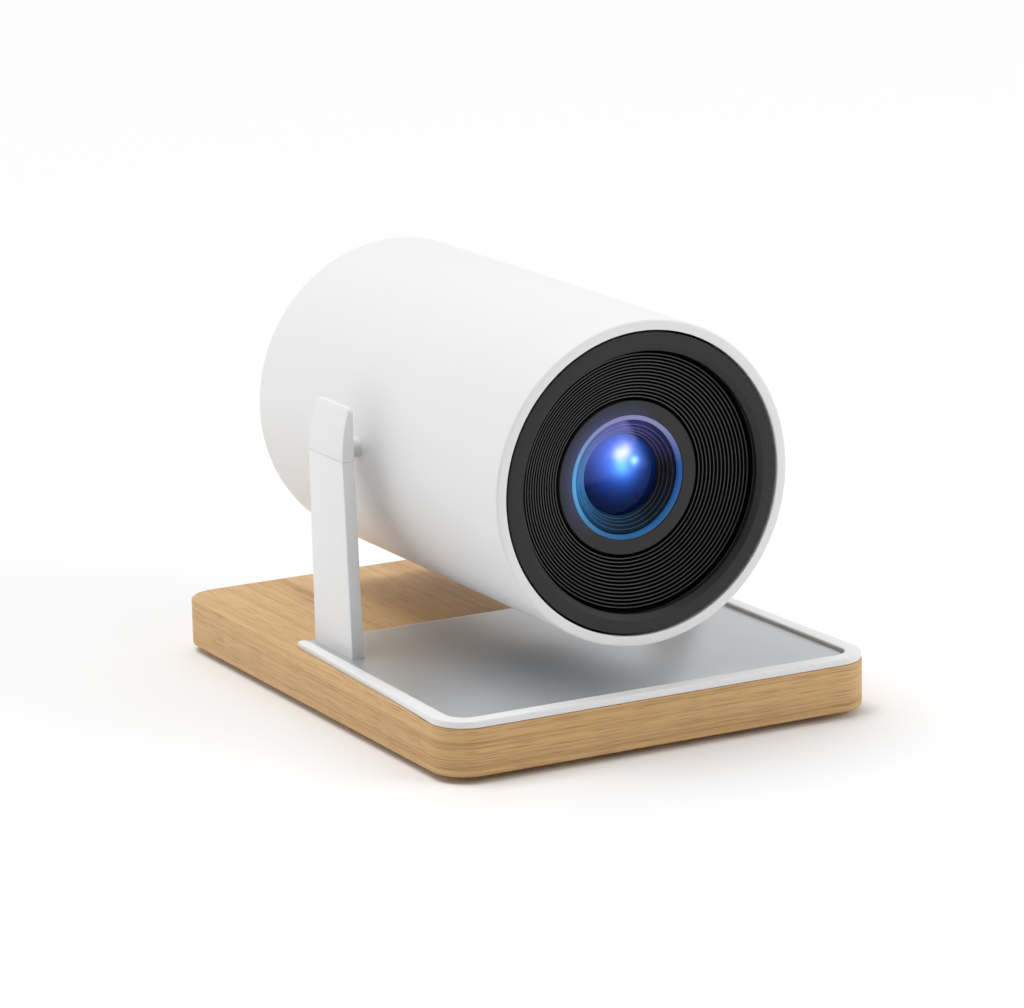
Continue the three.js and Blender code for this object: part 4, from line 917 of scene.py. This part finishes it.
def section(x, y, z, corner, steps=4):
    """A level rounded rectangle, as a loop of points for a loft."""
    (x0, x1), (y0, y1) = sorted(x), sorted(y)
    corner = min(corner, (x1 - x0) * 0.49, (y1 - y0) * 0.49)
    return [(px, py, z) for px, py in rounded_rectangle((x0, y0), (x1, y1), corner, steps)]


def loft(sections):
    """A closed bmesh through loops that have the same number of points."""
    bm = bmesh.new()
    rings = [[bm.verts.new(Vector(point) * MM) for point in loop] for loop in sections]
    count = len(rings[0])
    for lower, upper in zip(rings, rings[1:]):
        for index in range(count):
            following = (index + 1) % count
            bm.faces.new([lower[index], lower[following], upper[following], upper[index]])
    bm.faces.new(rings[0])
    bm.faces.new(rings[-1])
    return bm


def blended(first, second, share):
    return tuple(a + (b - a) * share for a, b in zip(first, second))


def shrunk(span, amount):
    return (min(span) + amount, max(span) - amount)


def make_arm(name, side):
    near, far = arm_section(name)
    node_low, node_high = ends(f"arm_{name}")
    seam_z = node_high.z
    x = (side * near, side * far)
    sections = [
        section(x, ARM_FOOT, node_low.z, ARM_EDGE),
        section(x, ARM_FOOT, BOARD_TOP, ARM_EDGE),
        section(x, ARM_SEAM, seam_z - SEAM_CHAMFER, ARM_EDGE),
        section(shrunk(x, SEAM_INSET), shrunk(ARM_SEAM, SEAM_INSET), seam_z, ARM_EDGE),
    ]
    tab_end = side * min(abs(node_low.x), abs(node_high.x))
    tab_top = low("yoke_bar").z + TAB_HEIGHT
    tab = block(sorted((tab_end, side * (near + 1))), ARM_FOOT, (node_low.z, tab_top))
    bm = merged(loft(sections), tab)
    finished(f"yoke_arm_{name}", bm, "stand", "white_paint", stands_for=[f"arm_{name}"])


def make_arm_cap(name, side):
    """The outer face leans in on an arc, the inner face stays upright, and the top corners are round."""
    near, far = arm_section(name)
    top = high(f"arm_cap_{name}").z
    bottom = AXIS_Z - 0.05
    lean = far - near - CAP_TOP_THICKNESS
    height = top - AXIS_Z
    radius = (height**2 + lean**2) / (2 * lean)
    base = shrunk((side * near, side * far), SEAM_INSET)
    sections = [section(base, shrunk(ARM_SEAM, SEAM_INSET), bottom, ARM_EDGE)]
    for step in range(CAP_STEPS + 1):
        share = math.sin(math.pi / 2 * step / CAP_STEPS)
        z = bottom + SEAM_CHAMFER + (top - bottom - SEAM_CHAMFER) * share
        outer = far - radius + math.sqrt(radius**2 - (z - AXIS_Z) ** 2)
        edges = blended(ARM_SEAM, CAP_TOP, (z - bottom) / height)
        over = max(z - (top - CAP_CORNER), 0)
        pull = CAP_CORNER - math.sqrt(max(CAP_CORNER**2 - over**2, 0))
        over_edge = max(z - (top - ARM_EDGE), 0)
        soften = ARM_EDGE - math.sqrt(max(ARM_EDGE**2 - over_edge**2, 0))
        thickness = shrunk((side * near, side * outer), soften)
        sections.append(section(thickness, shrunk(edges, pull), z, ARM_EDGE))
    finished(f"yoke_cap_{name}", loft(sections), "stand", "white_paint", stands_for=[f"arm_cap_{name}"])


HUB_SHAVE = 0.4
WASHER_BORE = 2.8


def make_pivot(name, side):
    hub_low, hub_high = ends(f"pivot_hub_{name}")
    radius = (hub_high.z - hub_low.z) / 2 - HUB_SHAVE
    outer = side * max(abs(hub_low.x), abs(hub_high.x))
    inner = side * (SHELL_RADIUS - HUB_SHAVE)
    centre = (0, PIVOT_Y, AXIS_Z)
    hub = filleted([(0, inner, 0), (radius, inner, 0), (radius, outer), (0, outer, 0)], 0.6)
    bm = turned(hub, "x", centre, SMALL_SEGMENTS, closed=False)
    finished(f"hub_collar_{name}", bm, "head", "white_plastic", stands_for=[f"pivot_hub_{name}"])
    disc_low, disc_high = ends(f"friction_washer_{name}")
    radius = (disc_high.z - disc_low.z) / 2
    ring = rectangle((WASHER_BORE, disc_low.x), (radius, disc_high.x))
    bm = turned(filleted(ring, 0.2), "x", centre, SMALL_SEGMENTS)
    finished(f"washer_{name}", bm, "stand", "washer_acetal", stands_for=[f"friction_washer_{name}"])


def make_feet():
    for end in ("front", "rear"):
        for name, _ in SIDES:
            node = f"foot_{end}_{name}"
            lowest, highest = ends(node)
            centre = (*middle(node).xy, 0)
            radius = (highest.x - lowest.x) / 2
            top = BOARD_BOTTOM - 0.05
            profile = filleted([
                (0, 0, 0),
                (radius - 0.4, 0),
                (radius, top * 0.5),
                (radius, top),
                (3, top, 0),
                (3, highest.z),
                (0, highest.z, 0),
            ], 0.4)
            bm = turned(profile, "z", centre, SMALL_SEGMENTS, closed=False)
            finished(f"rubber_{node}", bm, "stand", "foot_rubber", stands_for=[node])


# ------------ head casing

SHELL_WALL = 2.5
LIP_RADIUS = 56.1
LIP_DEPTH = 4.6
SHADOW_GAP = 0.85
BEZEL_FRONT = low("front_bezel").y
BEZEL_FACE = 50.4
BEZEL_INNER = 48.3
BEZEL_PLATE = 3.4
BEZEL_SKIRT = 9
RIDGES = 14
FIRST_CREST = 46.6
LAST_CREST = 29.9
CREST_WIDTH = 0.42
GROOVE_DEPTH = 2.6
BAFFLE_FLOOR = 2.2
VENT_COLUMNS = 5
VENT_PITCH = 6.0
VENT_WIDTH = 2.6
VENT_LENGTH = 22.0
VENT_ROWS = (middle("speaker").y, 58.0)


def make_shell():
    inner = SHELL_RADIUS - SHELL_WALL
    profile = filleted([
        (LIP_RADIUS, SHELL_FRONT, 0.3),
        (SHELL_RADIUS, SHELL_FRONT, 1.0),
        (SHELL_RADIUS, SHELL_REAR, 1.0),
        (inner, SHELL_REAR, 0.3),
        (inner, SHELL_FRONT + LIP_DEPTH, 0),
        (LIP_RADIUS, SHELL_FRONT + LIP_DEPTH, 0),
    ], 0.5, steps=5)
    tube = turned(profile, "y", AXIS_POINT)
    slots = []
    for centre in VENT_ROWS:
        for column in range(VENT_COLUMNS):
            x = (column - (VENT_COLUMNS - 1) / 2) * VENT_PITCH
            outline = slot_outline(
                (x - VENT_WIDTH / 2, centre - VENT_LENGTH / 2),
                (x + VENT_WIDTH / 2, centre + VENT_LENGTH / 2),
            )
            slots.append(prism(outline, AXIS_Z - SHELL_RADIUS - 1, AXIS_Z - SHELL_RADIUS + 6))
    finished("drum_shell", cut(tube, merged(*slots)), "head", "white_paint", stands_for=["barrel_shell"])


def make_bezel():
    """The dark ring set in the drum's mouth, with a fine shadow line round it."""
    outer = LIP_RADIUS - SHADOW_GAP
    profile = filleted([
        (outer, BEZEL_FRONT, 0.3),
        (outer, BEZEL_FRONT + 2.2, 0),
        (outer - 0.4, BEZEL_FRONT + BEZEL_SKIRT, 0),
        (outer - 1.6, BEZEL_FRONT + BEZEL_SKIRT, 0),
        (outer - 1.6, BEZEL_FRONT + BEZEL_PLATE, 0),
        (BEZEL_INNER, BEZEL_FRONT + BEZEL_PLATE, 0),
        (BEZEL_INNER, BEZEL_FRONT + 1.3, 0.12),
        (BEZEL_FACE, BEZEL_FRONT, 0.12),
    ], 0.2)
    bm = turned(profile, "y", AXIS_POINT)
    finished("bezel_ring", bm, "head", "dark_plastic", stands_for=["front_bezel"])


def crest_line():
    """Depth of the crests behind the drum's mouth, at the first and at the last crest."""
    return BEZEL_FRONT + 4.8, LENS_RING_Y + 0.2


def make_baffle():
    """The light trap: a shallow cone of thin concentric crests with deep grooves between them."""
    first_y, last_y = crest_line()
    pitch = (FIRST_CREST - LAST_CREST) / (RIDGES - 1)
    outer = high("baffle_cone").x
    mouth = BEZEL_FRONT + 3.8
    points = [(outer, mouth, 0), (BEZEL_INNER + 0.5, mouth, 0)]
    for index in range(RIDGES):
        share = index / (RIDGES - 1)
        radius = FIRST_CREST - index * pitch
        level = first_y + (last_y - first_y) * share
        points += [
            (radius + CREST_WIDTH / 2 + 0.12, level + GROOVE_DEPTH, 0),
            (radius + CREST_WIDTH / 2, level, 0.1),
            (radius - CREST_WIDTH / 2, level, 0.1),
            (radius - CREST_WIDTH / 2 - 0.12, level + GROOVE_DEPTH, 0),
        ]
    hole = LENS_RING_RADIUS + 0.35
    points += [
        (hole, last_y + GROOVE_DEPTH, 0),
        (hole, last_y + GROOVE_DEPTH + BAFFLE_FLOOR, 0),
        (LAST_CREST + 1, last_y + GROOVE_DEPTH + BAFFLE_FLOOR, 0),
        (BEZEL_INNER + 0.5, first_y + GROOVE_DEPTH + 1.6, 0),
        (outer, first_y + GROOVE_DEPTH + 1.6, 0),
    ]
    bm = turned(filleted(points, 0.1, steps=2), "y", AXIS_POINT)
    finished("ridged_baffle", bm, "head", "black_plastic", "ridged_plastic", stands_for=["baffle_cone"])


# ------------ lens

LENS_RING_Y = low("lens_front_ring").y
LENS_RING_RADIUS = high("lens_front_ring").x
# The steps of the throat behind the front glass: the radius of each, and its depth behind the ring's face.
THROAT_STEPS = ((19.3, 1.6), (17.9, 2.6), (16.8, 3.8), (15.8, 4.8))
DOME_RADIUS = 14.9
DOME_SEAT = 5.6
DOME_BULGE = 3.2
BEVEL_OUTER = 22.9
BEVEL_INNER = 21.3


def make_lens_ring():
    rear = high("lens_front_ring").y
    profile = filleted([
        (LENS_RING_RADIUS, LENS_RING_Y, 0.35),
        (LENS_RING_RADIUS, rear, 0),
        (BEVEL_OUTER + 0.12, rear, 0),
        (BEVEL_OUTER + 0.12, LENS_RING_Y, 0.25),
    ], 0.2)
    bm = turned(profile, "y", AXIS_POINT)
    finish = "lens_ring_plastic"
    finished("lens_bezel", bm, "lens_group", "dark_plastic", finish, stands_for=["lens_front_ring"])


def make_glass_bevel():
    """The bevelled, coated edge of the front glass."""
    profile = filleted([
        (BEVEL_OUTER, LENS_RING_Y + 0.15, 0.2),
        (BEVEL_OUTER, LENS_RING_Y + 2.2, 0),
        (BEVEL_INNER + 0.1, LENS_RING_Y + 2.2, 0),
        (BEVEL_INNER, LENS_RING_Y + 0.45, 0.2),
    ], 0.12)
    bm = turned(profile, "y", AXIS_POINT)
    finished("glass_bevel", bm, "lens_group", "coated_glass", "bevel_painted_light")


def lens_profile(radius, front, back, bulge, back_bulge, steps=20):
    """A lens from its edge radius and edge places, with each face bulging by the given amount."""
    shares = [step / steps for step in range(steps + 1)]
    front_face = [(radius * share, front - bulge * (1 - share**2)) for share in shares]
    back_face = [(radius * share, back + back_bulge * (1 - share**2)) for share in reversed(shares)]
    return front_face + back_face


def make_lenses():
    face = LENS_RING_Y + 0.9
    front = lens_profile(BEVEL_INNER - 0.15, face, face + 0.5, 2.4, -2.0)
    bm = turned(front, "y", AXIS_POINT, closed=False)
    finished("front_glass", bm, "lens_group", "coated_glass", stands_for=["front_lens"])
    seat = LENS_RING_Y + DOME_SEAT
    inner = lens_profile(DOME_RADIUS, seat, high("inner_lens").y, DOME_BULGE, 0)
    bm = turned(inner, "y", AXIS_POINT, closed=False)
    finished("inner_glass", bm, "lens_group", "coated_glass", "lit_lens", stands_for=["inner_lens"])


def make_lens_tube():
    """The stepped throat between the front glass and the inner lens, and the tube behind it."""
    node_rear = high("lens_barrel").y
    outer = BEVEL_OUTER - 0.2
    points = [(outer, LENS_RING_Y + 2.4, 0), (BEVEL_INNER - 0.1, LENS_RING_Y + 2.4, 0)]
    for radius, depth in THROAT_STEPS:
        points.append((radius + 0.9, LENS_RING_Y + depth + 0.1, 0.1))
        points.append((radius, LENS_RING_Y + depth + 0.1, 0.1))
    dome_rear = high("inner_lens").y
    rear_radius = DOME_RADIUS + 9.6
    points += [
        (DOME_RADIUS + 0.3, LENS_RING_Y + DOME_SEAT, 0),
        (DOME_RADIUS + 0.3, dome_rear + 0.3, 0),
        (DOME_RADIUS + 5, dome_rear + 4, 0),
        (DOME_RADIUS + 7.7, node_rear, 0),
        (rear_radius, node_rear, 0.5),
        (rear_radius, dome_rear + 6, 0.5),
        (outer, dome_rear + 4, 0),
    ]
    bm = turned(filleted(points, 0.1, steps=2), "y", AXIS_POINT)
    finished("lens_tube", bm, "lens_group", "black_plastic", "throat_painted_light", stands_for=["lens_barrel"])


def make_seat_edges():
    """Thin polished edges on the steps of the throat."""
    rings = []
    for radius, depth in THROAT_STEPS:
        y = LENS_RING_Y + depth
        outer = radius + 0.24
        profile = filleted([(outer, y), (outer, y + 0.3), (radius, y + 0.3), (radius, y)], 0.08)
        rings.append(turned(profile, "y", AXIS_POINT))
    finished("seat_edges", merged(*rings), "lens_group", "coated_glass", "edge_painted_glint")


# ------------ rear end

GRILLE_RADIUS = 34.0
GRILLE_PITCH = 6.4
GRILLE_SLOT = 3.0
GRILLE_SPINE = 1.2
REAR_WALL = 2.5
SKIRT_WALL = 2
KEY_FLANGE = 1
KEY_GAP = 0.25
KEY_STEM = 1.4
COUNTERBORE = 3.2
SCREW_RADIUS = 1.5
SCREW_HEAD_RADIUS = 2.8
HOLE_SEGMENTS = 48
KEY_NODES = ("volume_down_button", "power_button", "volume_up_button")
KEY_BODIES = ("volume_down_key", "power_key", "volume_up_key")
PORT_NODES = ("video_socket", "data_socket", "audio_jack", "power_inlet")


def axis_place(node):
    """Where a round node's own axis lies. The axis runs along Y."""
    centre = middle(node)
    return centre.x, 0, centre.z


def through_hole(radius, node, span):
    """A round tool along a node's axis."""
    profile = [(0, span[0]), (radius, span[0]), (radius, span[1]), (0, span[1])]
    return turned(profile, "y", axis_place(node), HOLE_SEGMENTS, closed=False)


def make_rear_cap():
    wall = REAR_FACE - REAR_WALL
    outer = high("rear_cover").x
    skirt = low("rear_cover").y
    cup = filleted([
        (0, REAR_FACE, 0),
        (outer, REAR_FACE, 0.5),
        (outer, skirt, 0),
        (outer - SKIRT_WALL, skirt, 0),
        (outer - SKIRT_WALL, wall, 0),
        (0, wall, 0),
    ], 0.2)
    plate = turned(cup, "y", AXIS_POINT, closed=False)
    tools = []
    through = (wall - 1, REAR_FACE + 1)
    rows = int(GRILLE_RADIUS / GRILLE_PITCH)
    for row in range(-rows, rows + 1):
        z = row * GRILLE_PITCH
        half = math.sqrt(GRILLE_RADIUS**2 - z**2)
        for start, end in ((-half, -GRILLE_SPINE), (GRILLE_SPINE, half)):
            outline = slot_outline(
                (start, AXIS_Z + z - GRILLE_SLOT / 2),
                (end, AXIS_Z + z + GRILLE_SLOT / 2),
            )
            tools.append(prism(outline, *through, "xz"))
    for node in PORT_NODES:
        lowest, highest = ends(node)
        outline = rounded_rectangle((lowest.x, lowest.z), (highest.x, highest.z), 0.8, 4)
        tools.append(prism(outline, *through, "xz"))
    for node in (*KEY_NODES, "ir_window"):
        radius = (high(node).x - low(node).x) / 2 - KEY_FLANGE + KEY_GAP
        tools.append(through_hole(radius, node, through))
    for name, _ in SIDES:
        tools.append(through_hole(COUNTERBORE, f"rear_screw_{name}", (REAR_FACE - 1.2, REAR_FACE + 1)))
    finished("rear_cap", cut(plate, merged(*tools)), "head", "dark_plastic", stands_for=["rear_cover"])


def make_keys():
    for node, body in zip(KEY_NODES, KEY_BODIES):
        lowest, highest = ends(node)
        radius = (highest.x - lowest.x) / 2 - KEY_FLANGE
        wall = REAR_FACE - REAR_WALL
        profile = filleted([
            (0, lowest.y, 0),
            (KEY_STEM, lowest.y, 0),
            (KEY_STEM, wall - 1.3, 0),
            (radius + KEY_FLANGE, wall - 1.3, 0.2),
            (radius + KEY_FLANGE, wall - 0.3, 0.2),
            (radius, wall - 0.3, 0),
            (radius, highest.y, 0.6),
            (radius * 0.7, highest.y - 0.1, 0),
            (0, highest.y - 0.45, 0),
        ], 0.2)
        bm = turned(profile, "y", axis_place(node), SMALL_SEGMENTS, closed=False)
        finished(f"{node}_cap", bm, body, "white_plastic", stands_for=[node])


def make_rear_screws():
    for name, _ in SIDES:
        node = f"rear_screw_{name}"
        lowest, highest = ends(node)
        centre = middle(node)
        under_head = highest.y - 0.8
        profile = filleted([
            (0, lowest.y, 0),
            (SCREW_RADIUS, lowest.y, 0),
            (SCREW_RADIUS, under_head, 0),
            (SCREW_HEAD_RADIUS, under_head, 0),
            (SCREW_HEAD_RADIUS, highest.y),
            (0, highest.y, 0),
        ], 0.3)
        head = turned(profile, "y", axis_place(node), SMALL_SEGMENTS, closed=False)
        deep = (highest.y - 0.55, highest.y + 1)
        arms = [
            block((centre.x - across, centre.x + across), deep, (centre.z - tall, centre.z + tall))
            for across, tall in ((1.7, 0.35), (0.35, 1.7))
        ]
        finished(f"{node}_head", cut(head, *arms), "head", "steel", stands_for=[node])


def dress_remaining_nodes():
    """Gives every CAD node that still shows the finish of its own material slot."""
    slots = {part["node"]: part["material_slot"] for part in frame["record"]["subparts"]}
    for name, node in frame["nodes"].items():
        if node.hide_render:
            continue
        node.data.materials.clear()
        node.data.materials.append(FINISHES[slots[name]])


# ------------ the whole scene

make_camera()
make_studio()
FINISHES = make_finishes()
make_board()
make_rim()
make_deck()
for side_name, side_sign in SIDES:
    make_arm(side_name, side_sign)
    make_arm_cap(side_name, side_sign)
    make_pivot(side_name, side_sign)
make_feet()
make_shell()
make_bezel()
make_baffle()
make_lens_ring()
make_glass_bevel()
make_lenses()
make_lens_tube()
make_seat_edges()
make_rear_cap()
make_keys()
make_rear_screws()
dress_remaining_nodes()
